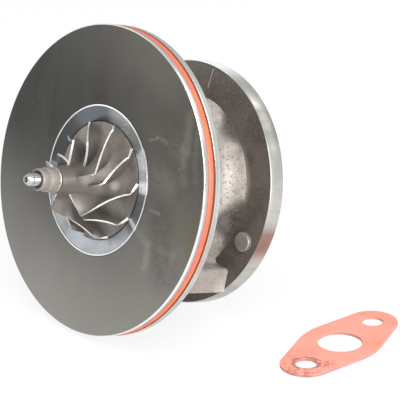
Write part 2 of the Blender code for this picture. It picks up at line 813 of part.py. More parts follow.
# Heat shield: a pressed cup between the housing and the turbine wheel
def make_heat_shield():
    front = shield_front
    floor = front - SHIELD_DEPTH
    lip = SHIELD_CUP_RADIUS - SHIELD_TAPER
    top = front - SHIELD_THICKNESS
    profile = [
        (SHIELD_CUP_RADIUS - SHIELD_THICKNESS, front),
        (SHIELD_FLANGE_RADIUS, front),
        (SHIELD_FLANGE_RADIUS, top),
        (SHIELD_CUP_RADIUS + SHIELD_THICKNESS / 2, top),
        (SHIELD_CUP_RADIUS, top - SHIELD_THICKNESS / 2),
        (lip, floor + SHIELD_THICKNESS / 2),
        (lip - SHIELD_THICKNESS / 2, floor),
        (SHIELD_HOLE_RADIUS, floor),
        (SHIELD_HOLE_RADIUS, floor + SHIELD_THICKNESS),
        (lip - SHIELD_THICKNESS, floor + SHIELD_THICKNESS),
    ]
    dress(turned("heat_shield", profile, RING_FACETS), "shield_steel")


# Dowel pin in the front face of the turbine flange
def make_dowel():
    pin = rod(
        "dowel_pin",
        DOWEL_RADIUS,
        (DOWEL_X, DOWEL_Y, flange_front - DOWEL_DEPTH),
        (DOWEL_X, DOWEL_Y, flange_front + DOWEL_PROUD),
        24,
        chamfer=EDGE_CHAMFER,
    )
    dress(pin, "ground_steel")


# Ring places in the bush and in the shaft's seal hub
bush_barrel_rear = -SEAL_PLATE_THICKNESS + FLINGER_RECESS_DEPTH - RUNNING_GAP
compressor_ring_front = (bush_front + bush_barrel_rear + PISTON_RING_THICKNESS) / 2
turbine_ring_front = (hub_front + nose_rear) / 2 + PISTON_RING_THICKNESS


def groove(radius, ring_front):
    """A piston-ring groove in a turned outline, down its outer side."""
    floor = radius - PISTON_RING_DEPTH
    front = ring_front + RUNNING_GAP
    rear = ring_front - PISTON_RING_THICKNESS - RUNNING_GAP
    return [(radius, front), (floor, front), (floor, rear), (radius, rear)]


# Shaft, from the thread at the nose to the boss that is welded to the turbine wheel
def make_shaft():
    thread_rear = WHEEL_HUB_FRONT
    waist_front = front_circlip - CIRCLIP_THICKNESS
    waist_rear = middle_circlip
    cone = SEAL_HUB_RADIUS - JOURNAL_RADIUS
    profile = [
        (0, SHAFT_END - CENTRE_MARK_RADIUS),
        (CENTRE_MARK_RADIUS, SHAFT_END),
        (THREAD_RADIUS - SHAFT_END_CHAMFER, SHAFT_END),
        (THREAD_RADIUS, SHAFT_END - SHAFT_END_CHAMFER),
        (THREAD_RADIUS, thread_rear),
        (STUB_RADIUS, thread_rear - STUB_RADIUS + THREAD_RADIUS),
        (STUB_RADIUS, shoulder),
        (JOURNAL_RADIUS, shoulder),
        (JOURNAL_RADIUS, waist_front),
        (WAIST_RADIUS, waist_front - JOURNAL_RADIUS + WAIST_RADIUS),
        (WAIST_RADIUS, waist_rear + JOURNAL_RADIUS - WAIST_RADIUS),
        (JOURNAL_RADIUS, waist_rear),
        (JOURNAL_RADIUS, hub_front),
        (SEAL_HUB_RADIUS, hub_front - cone / 4),
    ]
    profile += groove(SEAL_HUB_RADIUS, turbine_ring_front)
    profile += [
        (SEAL_HUB_RADIUS, nose_rear),
        (WELD_BOSS_RADIUS, nose_rear - SEAL_HUB_RADIUS + WELD_BOSS_RADIUS),
        (WELD_BOSS_RADIUS, shaft_rear),
        (0, shaft_rear),
    ]
    dress(turned("rotor_shaft", profile, SMALL_FACETS, loop=False), "ground_steel")


# Thrust collar and seal bush: clamped on the shaft between its shoulder and the wheel
def make_collar_and_bush():
    bore = STUB_RADIUS + FIT_GAP
    front = bush_rear - SEAT_GAP
    collar = [
        (bore, front),
        (COLLAR_HUB_RADIUS, front),
        (COLLAR_HUB_RADIUS, collar_front),
        (COLLAR_FLANGE_RADIUS, collar_front),
        (COLLAR_FLANGE_RADIUS, collar_rear),
        (bore, collar_rear),
    ]
    dress(turned("thrust_collar", collar, SMALL_FACETS), "ground_steel")
    flinger_front = bush_barrel_rear - 4 * RUNNING_GAP
    neck = (BUSH_BARREL_RADIUS + BUSH_FLANGE_RADIUS) / 2
    flange_top = bush_rear + BUSH_FLANGE_THICKNESS
    bush = [(bore, bush_front), (BUSH_BARREL_RADIUS, bush_front)]
    bush += groove(BUSH_BARREL_RADIUS, compressor_ring_front)
    bush += [
        (BUSH_BARREL_RADIUS, flinger_front),
        (FLINGER_RADIUS, flinger_front),
        (FLINGER_RADIUS, flinger_front - FLINGER_THICKNESS),
        (neck, flinger_front - FLINGER_THICKNESS),
        (neck, flange_top),
        (BUSH_FLANGE_RADIUS, flange_top),
        (BUSH_FLANGE_RADIUS, bush_rear),
        (bore, bush_rear),
    ]
    dress(turned("seal_bush", bush, SMALL_FACETS), "ground_steel")


def wheel_hub_point(share):
    """Radius and height on the compressor wheel's hub, from the eye at 0 to the rim at 1."""
    turn = share * math.pi / 2
    rise = (1 - math.sin(turn)) ** WHEEL_HUB_RISE
    spread = (1 - math.cos(turn)) ** WHEEL_HUB_SPREAD
    radius = WHEEL_HUB_RADIUS + (WHEEL_RADIUS - WHEEL_HUB_RADIUS) * spread
    height = wheel_rim_front + (WHEEL_HUB_FLARE - wheel_rim_front) * rise
    return radius, height, rise


def wheel_tip_point(share):
    """Radius and height on the blades' outer edge, from the eye at 0 to the rim at 1."""
    turn = share * math.pi / 2
    rise = (1 - math.sin(turn)) ** WHEEL_TIP_RISE
    spread = (1 - math.cos(turn)) ** WHEEL_TIP_SPREAD
    low = wheel_rim_front + WHEEL_TIP_WIDTH
    radius = WHEEL_EYE_RADIUS + (WHEEL_RADIUS - WHEEL_EYE_RADIUS) * spread
    height = low + (WHEEL_EYE_FRONT - low) * rise
    return radius, height, rise


def blade(name, columns, rows, thickness, surface, turn):
    """A thin blade: a grid laid on surface(along, across), then given its thickness."""
    bm = bmesh.new()
    bmesh.ops.create_grid(bm, x_segments=columns, y_segments=rows, size=0.5)
    for corner in bm.verts:
        radius, height, angle = surface(corner.co.x + 0.5, corner.co.y + 0.5)
        corner.co = (radius * math.cos(angle), radius * math.sin(angle), height)
    bmesh.ops.rotate(bm, cent=(0, 0, 0), matrix=Matrix.Rotation(turn, 3, "Z"), verts=bm.verts)
    mesh = bpy.data.meshes.new(name)
    bm.to_mesh(mesh)
    bm.free()
    sheet = place(name, mesh, cutters)
    wall = sheet.modifiers.new("thickness", "SOLIDIFY")
    wall.thickness = thickness
    wall.offset = 0
    return sheet


def compressor_blade(hub_start, tip_start):
    """The sheet of a compressor blade whose front edge starts at these shares of the way in."""
    sink = 0.06

    def surface(along, across):
        hub_radius, hub_height, hub_rise = wheel_hub_point(hub_start + (1 - hub_start) * along)
        tip_radius, tip_height, tip_rise = wheel_tip_point(tip_start + (1 - tip_start) * along)
        hub_lag = WHEEL_HUB_WRAP * hub_rise**WHEEL_HUB_BEND
        tip_lag = WHEEL_EXIT_LEAN + WHEEL_TIP_WRAP * tip_rise**WHEEL_TIP_BEND
        level = across * (1 + sink) - sink
        radius = min(hub_radius + (tip_radius - hub_radius) * level, WHEEL_RADIUS - FIT_GAP)
        height = hub_height + (tip_height - hub_height) * level
        lag = hub_lag + (tip_lag - hub_lag) * level
        return radius, height, -lag

    return surface


# Compressor wheel: full blades and shorter splitter blades, all swept back
def make_compressor_wheel():
    bore = STUB_RADIUS + FIT_GAP
    hub = [(bore, WHEEL_HUB_FRONT), (WHEEL_HUB_TOP_RADIUS, WHEEL_HUB_FRONT)]
    hub += [wheel_hub_point(step / 9)[:2] for step in range(10)]
    hub += [(WHEEL_RADIUS, wheel_back), (bore, wheel_back)]
    wheel = turned("compressor_wheel", hub, RING_FACETS)
    pitch = 2 * math.pi / WHEEL_BLADES
    full = compressor_blade(0.0, 0.0)
    splitter = compressor_blade(SPLITTER_HUB_START, SPLITTER_TIP_START)
    for number in range(WHEEL_BLADES):
        for kind, surface, columns, ahead in (("full", full, 7, 0), ("splitter", splitter, 5, 0.5)):
            turn = WHEEL_PHASE + pitch * (number + ahead)
            name = f"compressor_{kind}_blade_{number}"
            add(wheel, blade(name, columns, 2, WHEEL_BLADE_THICKNESS, surface, turn))
    dress(wheel, "cast_aluminium")


# Nut on the end of the shaft: a round collar and six small flats
def make_nut():
    front = WHEEL_HUB_FRONT + SEAT_GAP + NUT_LENGTH
    rear = WHEEL_HUB_FRONT + SEAT_GAP
    bore = STUB_RADIUS + FIT_GAP
    step = rear + NUT_COLLAR_LENGTH
    bevel = NUT_RADIUS - NUT_ACROSS_FLATS / 2
    profile = [
        (bore, front),
        (NUT_RADIUS - bevel, front),
        (NUT_RADIUS, front - bevel),
        (NUT_RADIUS, step + bevel),
        (NUT_RADIUS - bevel, step + bevel),
        (NUT_RADIUS - bevel, step),
        (NUT_COLLAR_RADIUS, step),
        (NUT_COLLAR_RADIUS, rear),
        (bore, rear),
    ]
    nut = turned("shaft_nut", profile, 36)
    flats = rod(
        "nut_flats",
        NUT_ACROSS_FLATS / math.sqrt(3),
        (0, 0, rear - SEAT_GAP),
        (0, 0, front + SEAT_GAP),
        6,
        cutters,
    )
    combine(nut, flats, "INTERSECT")
    dress(nut, "nut_steel")


def turbine_hub_point(share):
    """A point (radius, height) of the turbine hub, 0 at the big disc and 1 at the nose."""
    turn = share * math.pi / 2
    front = turbine_disc_front - TURBINE_DISC_THICKNESS
    rear = turbine_disc_front - TURBINE_LENGTH
    reach = TURBINE_DISC_RADIUS - TURBINE_NOSE_RADIUS
    radius = TURBINE_NOSE_RADIUS + reach * (1 - math.sin(turn)) ** 1.2
    height = rear + (front - rear) * (1 - (1 - math.cos(turn)) ** 1.1)
    return radius, height


def turbine_blade(along, across):
    """The sheet of a turbine blade, along from the inlet to the exit and across to the tip."""
    share = along
    sink = 0.10
    level = across * (1 + sink) - sink
    hub_radius, hub_height = turbine_hub_point(share)
    if share == 0:
        hub_radius = TURBINE_DISC_RADIUS
    turn = share * math.pi / 2
    rear = turbine_disc_front - TURBINE_LENGTH
    inlet = turbine_disc_front - TURBINE_DISC_THICKNESS - TURBINE_INLET_WIDTH
    tip_radius = TURBINE_EXIT_RADIUS
    tip_radius += (TURBINE_RADIUS - TURBINE_EXIT_RADIUS) * (1 - math.sin(turn)) ** 1.5
    tip_height = inlet + (rear - inlet) * share
    radius = hub_radius + (tip_radius - hub_radius) * level
    height = hub_height + (tip_height - hub_height) * level
    if share == 0 and level > 0:
        radius = TURBINE_RADIUS
    angle = TURBINE_TWIST * max(0.0, share - 0.25) ** 1.5
    return radius, height, angle


# Turbine wheel: eleven blades past a smaller disc, and a hexagon on the nose
def make_turbine_wheel():
    front = turbine_disc_front
    hub = [(0, front), (TURBINE_BOSS_RADIUS, front), (TURBINE_DISC_RADIUS, front)]
    hub += [turbine_hub_point(step / 7) for step in range(8)]
    rear = front - TURBINE_LENGTH
    hub += [(0, rear)]
    wheel = turned("turbine_wheel", hub, 33, loop=False)
    pitch = 2 * math.pi / TURBINE_BLADES
    for number in range(TURBINE_BLADES):
        sheet = blade(
            f"turbine_blade_{number}",
            5,
            2,
            TURBINE_BLADE_THICKNESS,
            turbine_blade,
            pitch * number,
        )
        add(wheel, sheet)
    hexagon = rod(
        "turbine_hexagon",
        TURBINE_HEX_RADIUS,
        (0, 0, rear + TURBINE_HEX_LENGTH / 2),
        (0, 0, rear - TURBINE_HEX_LENGTH),
        6,
        cutters,
    )
    add(wheel, hexagon)
    dress(wheel, "nickel_alloy")


def gasket_outline(steps):
    """The outer edge: two bolt ends and a round waist, joined by tangent lines."""
    reach = DRAIN_BOLT_SPACING / 2
    lean = math.acos((GASKET_WAIST_RADIUS - GASKET_END_RADIUS) / reach)
    points = []
    for centre, radius, first, last in (
        (reach, GASKET_END_RADIUS, -lean, lean),
        (0.0, GASKET_WAIST_RADIUS, lean, math.pi - lean),
        (-reach, GASKET_END_RADIUS, math.pi - lean, math.pi + lean),
        (0.0, GASKET_WAIST_RADIUS, math.pi + lean, 2 * math.pi - lean),
    ):
        for k in range(steps + 1):
            a = first + (last - first) * k / steps
            points.append((centre + radius * math.cos(a), radius * math.sin(a)))
    return points


def circle_points(centre, radius, steps):
    turns = [2 * math.pi * k / steps for k in range(steps)]
    return [(centre + radius * math.cos(a), radius * math.sin(a)) for a in turns]


# Drain gasket: a flat sheet with the drain hole and two bolt holes
def make_gasket():
    outline = bpy.data.curves.new("drain_gasket", "CURVE")
    outline.dimensions = "2D"
    outline.fill_mode = "BOTH"
    outline.extrude = GASKET_THICKNESS / 2
    reach = DRAIN_BOLT_SPACING / 2
    for points in (
        gasket_outline(10),
        circle_points(0.0, DRAIN_PORT_RADIUS, 32),
        circle_points(reach, GASKET_BOLT_RADIUS, 20),
        circle_points(-reach, GASKET_BOLT_RADIUS, 20),
    ):
        line = outline.splines.new("POLY")
        line.points.add(len(points) - 1)
        for spot, (x, y) in zip(line.points, points):
            spot.co = (x, y, 0, 1)
        line.use_cyclic_u = True
    sheet = bpy.data.objects.new("gasket_outline", outline)
    bpy.context.scene.collection.objects.link(sheet)
    bpy.context.view_layer.update()
    graph = bpy.context.evaluated_depsgraph_get()
    mesh = bpy.data.meshes.new_from_object(sheet.evaluated_get(graph))
    bpy.data.objects.remove(sheet, do_unlink=True)
    bm = bmesh.new()
    bm.from_mesh(mesh)
    bmesh.ops.remove_doubles(bm, verts=bm.verts, dist=0.00001)
    bmesh.ops.recalc_face_normals(bm, faces=bm.faces)
    bm.to_mesh(mesh)
    bm.free()
    gasket = place("drain_gasket", mesh, parts, None)
    gasket.location = (GASKET_X - middle_x, GASKET_Y - middle_y, GASKET_THICKNESS / 2)
    gasket.rotation_euler.z = math.pi / 2 + GASKET_TURN
    dress(gasket, "gasket_sheet")


make_housing()
make_o_rings()
make_seal_plate()
make_baffle()
make_thrust_bearing()
make_piston_rings()
make_circlips()
make_journal_bearings()
make_heat_shield()
make_dowel()
make_shaft()
make_collar_and_bush()
make_compressor_wheel()
make_nut()
make_turbine_wheel()
make_gasket()
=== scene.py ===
import json
import math
from functools import partial
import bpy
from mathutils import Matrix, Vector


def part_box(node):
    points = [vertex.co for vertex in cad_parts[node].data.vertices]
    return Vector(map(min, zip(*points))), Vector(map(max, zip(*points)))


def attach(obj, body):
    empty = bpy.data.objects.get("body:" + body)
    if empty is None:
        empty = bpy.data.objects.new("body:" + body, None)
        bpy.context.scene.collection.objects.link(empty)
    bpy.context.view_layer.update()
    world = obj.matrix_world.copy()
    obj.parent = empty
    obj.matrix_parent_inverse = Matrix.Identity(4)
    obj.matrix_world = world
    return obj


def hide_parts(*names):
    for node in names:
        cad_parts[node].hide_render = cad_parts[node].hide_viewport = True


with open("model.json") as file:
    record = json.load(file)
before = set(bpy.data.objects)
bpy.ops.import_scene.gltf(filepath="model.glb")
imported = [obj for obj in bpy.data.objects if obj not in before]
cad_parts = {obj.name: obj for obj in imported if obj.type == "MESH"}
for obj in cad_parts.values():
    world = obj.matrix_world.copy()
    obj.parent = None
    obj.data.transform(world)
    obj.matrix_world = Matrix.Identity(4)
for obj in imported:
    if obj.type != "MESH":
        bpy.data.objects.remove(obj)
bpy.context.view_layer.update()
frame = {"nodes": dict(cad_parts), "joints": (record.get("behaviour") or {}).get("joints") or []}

from types import SimpleNamespace

import bmesh
import bpy
from mathutils import Matrix, Vector, noise

print("frame loaded")

mm = 0.001
spinJoint = next(joint for joint in frame["joints"] if joint["name"] == "rotor_spin")
noseWay = Vector(spinJoint["axis"]).normalized()
faceCentre = Vector(spinJoint["pos_m"])
leanBack = math.pi / 2 - math.asin(noseWay.z)
toPart = Matrix.Translation(faceCentre) @ Matrix.Rotation(leanBack, 4, "X")  # Z runs out of the nose
gasketLow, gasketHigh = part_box("drain_gasket")
finishes = {}


def named(sizes):
    return SimpleNamespace(**sizes)


# Camera, floor and light

cameraLook = {
    "lens": 202.6,
    "place": (569.01 * mm, -449.18 * mm, 337.03 * mm),  # from the ground point under the disc's centre
    "across": 48.9,
    "down": 21.85,
}

studio = {
    "floorColour": (0.93, 0.93, 0.93),
    "floorGlow": 0.86,
    "worldColour": (0.90, 0.93, 0.96),
    "worldStrength": 0.55,
    "lamps": {  # power, place and size
        "keyLamp": (5.0, (0.45, -0.35, 0.75), 0.6), "fillLamp": (2.2, (-0.7, -0.5, 0.5), 0.7),
        "backLamp": (2.5, (0.25, 0.75, 0.65), 0.6), "sideLamp": (6.0, (0.85, -0.02, 0.28), 0.45),
    },
}


def makeCamera():
    across, down = math.radians(cameraLook["across"]), math.radians(cameraLook["down"])
    back = Vector((math.sin(across) * math.cos(down), -math.cos(across) * math.cos(down), math.sin(down)))
    data = bpy.data.cameras.new("photoCamera")
    data.lens = cameraLook["lens"]
    data.sensor_width = 36
    data.clip_end = 20
    camera = bpy.data.objects.new("photoCamera", data)
    camera.location = Vector((faceCentre.x, faceCentre.y, 0)) + Vector(cameraLook["place"])
    camera.rotation_mode = "QUATERNION"
    camera.rotation_quaternion = (-back).to_track_quat("-Z", "Y")
    bpy.context.scene.collection.objects.link(camera)
    bpy.context.scene.camera = camera


def makeLamp(name, power, place, size):
    data = bpy.data.lights.new(name, "AREA")
    data.energy = power
    data.size = size
    lamp = bpy.data.objects.new(name, data)
    lamp.location = place
    lamp.rotation_mode = "QUATERNION"
    lamp.rotation_quaternion = (Vector(place) - Vector((0, 0, 0.04))).to_track_quat("Z", "Y")
    bpy.context.scene.collection.objects.link(lamp)


def makeStudio():
    bm = bmesh.new()
    bmesh.ops.create_grid(bm, x_segments=1, y_segments=1, size=6)
    floor = standing("studioFloor", bm)
    net = Net("studioPaper")
    net.nodes.remove(net.nodes["Principled BSDF"])
    diffuse = net.step("BsdfDiffuse", {"Color": (*studio["floorColour"], 1)})
    glow = net.step("Emission", {"Strength": 1})
    rays = net.nodes.new("ShaderNodeLightPath").outputs
    seen = net.calc("ADD", rays["Is Camera Ray"], rays["Is Glossy Ray"], use_clamp=True)
    seen = net.calc("ADD", seen, rays["Is Transmission Ray"], use_clamp=True)
    mix = net.step("MixShader", {"Fac": net.times(seen, studio["floorGlow"]), 1: diffuse, 2: glow})
    net.put(net.nodes["Material Output"].inputs["Surface"], mix)
    floor.data.materials.append(net.owner)

    scene = bpy.context.scene
    scene.world = bpy.data.worlds.new("studioWorld")
    net = Net("studioWorld", owner=scene.world)
    soft = net.nodes["Background"]
    net.put(soft.inputs["Color"], (*studio["worldColour"], 1))
    net.put(soft.inputs["Strength"], studio["worldStrength"])
    white = net.step("Background", {"Color": (1, 1, 1, 1)})
    rays = net.nodes.new("ShaderNodeLightPath").outputs
    seen = net.calc("ADD", rays["Is Camera Ray"], rays["Is Transmission Ray"], use_clamp=True)
    mix = net.step("MixShader", {"Fac": seen, 1: soft.outputs[0], 2: white})
    net.put(net.nodes["World Output"].inputs["Surface"], mix)
    for name, lamp in studio["lamps"].items():
        makeLamp(name, *lamp)
    scene.view_settings.view_transform = "Standard"


# Material building blocks


class Net:  # the steps of one finish, with the colour laid so far
    def __init__(self, name, colour=None, owner=None):
        owner = owner or bpy.data.materials.new(name)
        owner.use_nodes = True
        self.owner, self.colour = owner, colour
        self.nodes, self.links = owner.node_tree.nodes, owner.node_tree.links

    def put(self, socket, value):
        if isinstance(value, bpy.types.NodeSocket):
            self.links.new(value, socket)
        elif value is not None:
            socket.default_value = value

    def step(self, kind, values, output=0, **settings):
        node = self.nodes.new(f"ShaderNode{kind}")
        for key, value in settings.items():
            setattr(node, key, value)
        for key, value in values.items():
            self.put(node.inputs[key], value)
        return node.outputs[output]

    def calc(self, operation, first, second=None, **settings):
        return self.step("Math", {0: first, 1: second}, operation=operation, **settings)

    def vectors(self, operation, values, output="Vector"):
        return self.step("VectorMath", values, output, operation=operation)

    def times(self, first, second):
        return self.calc("MULTIPLY", first, second)

    def plus(self, first, second):
        return self.calc("ADD", first, second)

    def minus(self, first, second):
        return self.calc("SUBTRACT", first, second)

    def away(self, value, middle):
        return self.calc("ABSOLUTE", self.minus(value, middle))

    def coords(self, place=None, turn=None):  # the part's own coordinates, Z out of the nose
        values = {"Location": place or faceCentre, "Rotation": turn or (leanBack, 0, 0)}
        values["Vector"] = self.step("TexCoord", {}, "Object")
        return self.step("Mapping", values, vector_type="TEXTURE")

    def stretched(self, vector, scale):
        return self.step("Mapping", {"Scale": scale, "Vector": vector})

    def split(self, vector):
        node = self.nodes.new("ShaderNodeSeparateXYZ")
        self.put(node.inputs[0], vector)
        return node.outputs[:]

    def joined(self, x, y, z):
        return self.step("CombineXYZ", {0: x, 1: y, 2: z})

    def polar(self, vector):  # radius in m, angle in radians and height, for lathe lines
        x, y, z = self.split(vector)
        radius = self.calc("SQRT", self.plus(self.times(x, x), self.times(y, y)))
        return radius, self.calc("ARCTAN2", y, x), z

    def grain(self, vector, scale, detail=4.0, rough=0.6, bend=0.0, output="Fac"):
        values = {"Vector": vector, "Scale": scale, "Detail": detail, "Roughness": rough, "Distortion": bend}
        return self.step("TexNoise", values, output)

    def between(self, value, low, high, outLow=0.0, outHigh=1.0):
        values = {"Value": value, "From Min": low, "From Max": high, "To Min": outLow, "To Max": outHigh}
        return self.step("MapRange", values, "Result", interpolation_type="SMOOTHSTEP")

    def blend(self, share, first, second):
        first, second = ((*tone, 1) if isinstance(tone, tuple) else tone for tone in (first, second))
        return self.step("Mix", {"Factor": share, 6: first, 7: second}, 2, data_type="RGBA")

    def lay(self, share, tone):
        self.colour = self.blend(share, self.colour, tone)

    def near(self, vector, place, inner, outer):  # 1 near a point of the part, 0 away from it
        far = self.vectors("DISTANCE", {0: vector, 1: [value * mm for value in place]}, "Value")
        return self.between(far, inner * mm, outer * mm, 1.0, 0.0)

    def spots(self, vector, spots, torn=1.0):
        for place, inner, outer, tone, share in spots:
            spot = self.near(vector, place, inner, outer)
            self.lay(self.times(spot, self.times(torn, share)), tone)

    def swayed(self, vector, scale, reach):  # pushes the coordinates about, for uneven marks
        noisy = self.grain(vector, scale, 3.0, 0.5, output="Color")
        push = self.vectors("MULTIPLY_ADD", {0: noisy, 1: (reach * mm, reach * mm, 0), 2: vector})
        return self.vectors("SUBTRACT", {0: push, 1: (reach * mm / 2, reach * mm / 2, 0)})

    def stroke(self, vector, start, end, inner, outer):  # 1 along a line on the face, 0 away from it
        start, end = Vector((*start, 0)) * mm, Vector((*end, 0)) * mm
        line = end - start
        offset = self.vectors("SUBTRACT", {0: vector, 1: start})
        along = self.vectors("DOT_PRODUCT", {0: offset, 1: line / line.length_squared}, "Value")
        along = self.calc("MAXIMUM", self.calc("MINIMUM", along, 1.0), 0.0)
        foot = self.vectors("SCALE", {0: line, "Scale": along})
        far = self.vectors("DISTANCE", {0: offset, 1: foot}, "Value")
        return self.between(far, inner * mm, outer * mm, 1.0, 0.0)

    def reflectionSectors(self, angle, reflectionSectors, metal):  # painted reflections: bright and dark tones inside sectors of the lathe angle, in degrees
        for middle, half, soft, tone, share in reflectionSectors:
            far = self.away(angle, math.radians(middle))
            inside = self.between(far, math.radians(half), math.radians(half + soft), 1.0, 0.0)
            sector = self.times(inside, share)
            self.lay(sector, tone)
            if min(tone) > 0.5:  # a bright painted reflection, which also lowers the metallic value
                metal = self.times(metal, self.minus(1.0, sector))
        return metal

    def bump(self, height, strength, distance, before=None):
        values = {"Strength": strength, "Distance": distance, "Height": height, "Normal": before}
        return self.step("Bump", values)

    def worn(self, layer, rough, low, high):
        return self.between(layer, 0.3, 0.8, rough * low, rough * high)

    def surface(self, rough, normal, metal=None, specular=None):
        shader = self.nodes["Principled BSDF"].inputs
        self.put(shader["Base Color"], self.colour)
        self.put(shader["Roughness"], rough)
        self.put(shader["Normal"], normal)
        self.put(shader["Metallic"], metal)
        self.put(shader["Specular IOR Level"], specular)
        return self.owner


# Finishes

latheColumns = ("colour", "dark", "rough", "metal", "lines", "lineDepth", "blotch", "blotchShare", "specks")
latheFinishes = {
    "ringSteel": ((0.33, 0.345, 0.36), (0.19, 0.205, 0.22), 0.30, 0.75, 5200, 0.05, 90, 0.45, 0.12),
    "rimSilver": ((0.55, 0.545, 0.52), (0.38, 0.375, 0.355), 0.34, 0.60, 4200, 0.08, 120, 0.5, 0.15),
    "landGrey": ((0.40, 0.365, 0.345), (0.31, 0.27, 0.255), 0.42, 0.45, 4200, 0.08, 120, 0.5, 0.10),
    # painted shade in the O-ring groove, brown with light bounced off the orange ring
    "grooveWall": ((0.34, 0.175, 0.115), (0.22, 0.11, 0.075), 0.55, 0.1, 3000, 0.05, 200, 0.5, 0.10),
    "chamferBright": ((0.92, 0.92, 0.90), (0.75, 0.75, 0.72), 0.18, 0.9, 4200, 0.03, 200, 0.3, 0.05),
    "shaftSteel": ((0.62, 0.61, 0.60), (0.42, 0.41, 0.40), 0.28, 0.85, 6000, 0.05, 300, 0.4, 0.08),
    "pinSteel": ((0.36, 0.35, 0.335), (0.24, 0.23, 0.22), 0.30, 0.6, 3000, 0.04, 300, 0.5, 0.12),
    "nutSteel": ((0.365, 0.331, 0.292), (0.235, 0.21, 0.183), 0.46, 0.35, 5000, 0.10, 400, 0.5, 0.15),
    "nutShade": ((0.150, 0.134, 0.118), (0.085, 0.075, 0.066), 0.52, 0.25, 5000, 0.05, 400, 0.5, 0.10),
    "bearingBronze": ((0.55, 0.36, 0.16), (0.36, 0.21, 0.09), 0.32, 1.0, 6000, 0.10, 300, 0.6, 0.2),
    "springSteel": ((0.30, 0.30, 0.31), (0.16, 0.16, 0.17), 0.34, 1.0, 3000, 0.05, 250, 0.6, 0.2),
    "shieldSteel": ((0.45, 0.42, 0.38), (0.27, 0.23, 0.19), 0.36, 1.0, 1800, 0.04, 110, 0.7, 0.2),
}
latheReflectionSectors = {"ringSteel": (  # painted reflections on the seal plate ring; middle, half, soft edge, tone and share
    (126, 34, 26, (0.12, 0.13, 0.14), 0.86), (76, 9, 12, (0.55, 0.56, 0.57), 0.35),
    (32, 5, 6, (0.86, 0.88, 0.89), 0.62), (21, 8, 5, (0.60, 0.61, 0.62), 0.70),
    (9, 3, 4, (0.90, 0.92, 0.93), 0.85), (-14, 4, 5, (0.30, 0.31, 0.32), 0.08),
    (1, 3, 4, (0.45, 0.46, 0.47), 0.45), (-24, 0.8, 2.4, (0.82, 0.84, 0.86), 0.60),
    (-44, 8, 9, (0.64, 0.65, 0.66), 0.42), (-138, 7, 12, (0.68, 0.69, 0.70), 0.50),
    (158, 16, 16, (0.07, 0.075, 0.075), 0.90),
)}


def makeLatheFinish(name):
    look = dict(zip(latheColumns, latheFinishes[name]))
    net = Net(name, look["colour"])
    vector = net.coords()
    radius, angle, height = net.polar(vector)
    lines = net.grain(net.joined(net.times(angle, 0.0012), radius, height), look["lines"], 2.0, 0.5)
    blotch = net.grain(vector, look["blotch"], 5.0, 0.6, 0.8)
    net.lay(net.between(blotch, 0.35, 0.75, 0, look["blotchShare"]), look["dark"])
    net.lay(net.between(lines, 0.3, 0.8, 0, 0.25), look["dark"])
    specks = net.grain(vector, 1600, 2.0, 0.5)
    net.lay(net.between(specks, 0.68, 0.74, 0, look["specks"]), (0.05, 0.045, 0.04))
    # painted reflections in listed sectors round the part
    metal = net.reflectionSectors(angle, latheReflectionSectors.get(name, ()), look["metal"])
    normal = net.bump(lines, look["lineDepth"], 0.00005)
    return net.surface(net.worn(blotch, look["rough"], 0.8, 1.35), normal, metal)


discFace = {
    # painted reflection tones: the face is dark at the top, lighter to the right and pale at the bottom
    "dark": (0.043, 0.0415, 0.037),
    "darkReflectionRight": (0.120, 0.111, 0.095),
    "paleReflection": (0.325, 0.312, 0.286),
    "stain": (0.17, 0.155, 0.10),
    "smears": (
        ((38, 21, 0), 1.0, 9.0, (0.30, 0.28, 0.22), 0.18), ((45, -11, 0), 1.0, 11.0, (0.28, 0.26, 0.20), 0.22),
        ((39, 4, 0), 2.0, 8.0, (0.20, 0.165, 0.09), 0.30),
    ),
    # light and dark strokes along listed lines on the face, some of them painted reflections
    "strokes": (
        ((39.3, 33.2), (40.2, 21.8), 0.0, 3.0, (0.36, 0.33, 0.27), 0.24),
        ((40.2, 21.8), (42.7, 11.5), 0.0, 3.2, (0.36, 0.32, 0.24), 0.26),
        ((44.0, 28.0), (47.6, 13.6), 0.0, 2.4, (0.36, 0.34, 0.30), 0.16),
        ((22.6, 20.2), (26.1, 22.5), 0.1, 1.0, (0.38, 0.37, 0.34), 0.26),
        ((26.1, 22.5), (30.4, 21.9), 0.1, 1.4, (0.38, 0.37, 0.34), 0.20),
        ((28.8, 9.5), (34.0, 9.0), 1.0, 8.0, (0.32, 0.29, 0.25), 0.26),
        ((25.9, -10.8), (31.6, -13.6), 0.0, 2.2, (0.40, 0.39, 0.31), 0.22),
        ((31.6, -13.6), (31.3, -21.9), 0.0, 2.6, (0.42, 0.41, 0.33), 0.32),
        ((37.9, -14.2), (44.8, -13.2), 0.0, 1.6, (0.40, 0.39, 0.33), 0.20),
        ((44.8, -13.2), (43.4, -22.0), 0.0, 2.2, (0.40, 0.39, 0.33), 0.24),
        ((36.0, -5.0), (41.0, -20.0), 2.0, 10.0, (0.06, 0.058, 0.05), 0.36),
        ((29.4, -2.2), (33.6, -2.6), 0.1, 0.8, (0.42, 0.41, 0.38), 0.30),
        ((10.0, 36.0), (30.0, 30.0), 1.0, 9.0, (0.050, 0.048, 0.042), 0.22),
    ),
    "streak": (0.30, 0.29, 0.27), "line": (0.05, 0.05, 0.045), "wipe": (0.40, 0.39, 0.36),
    "dust": (0.42, 0.42, 0.38), "low": -50 * mm, "high": 36 * mm, "rough": 0.36, "metal": 0.85,
}


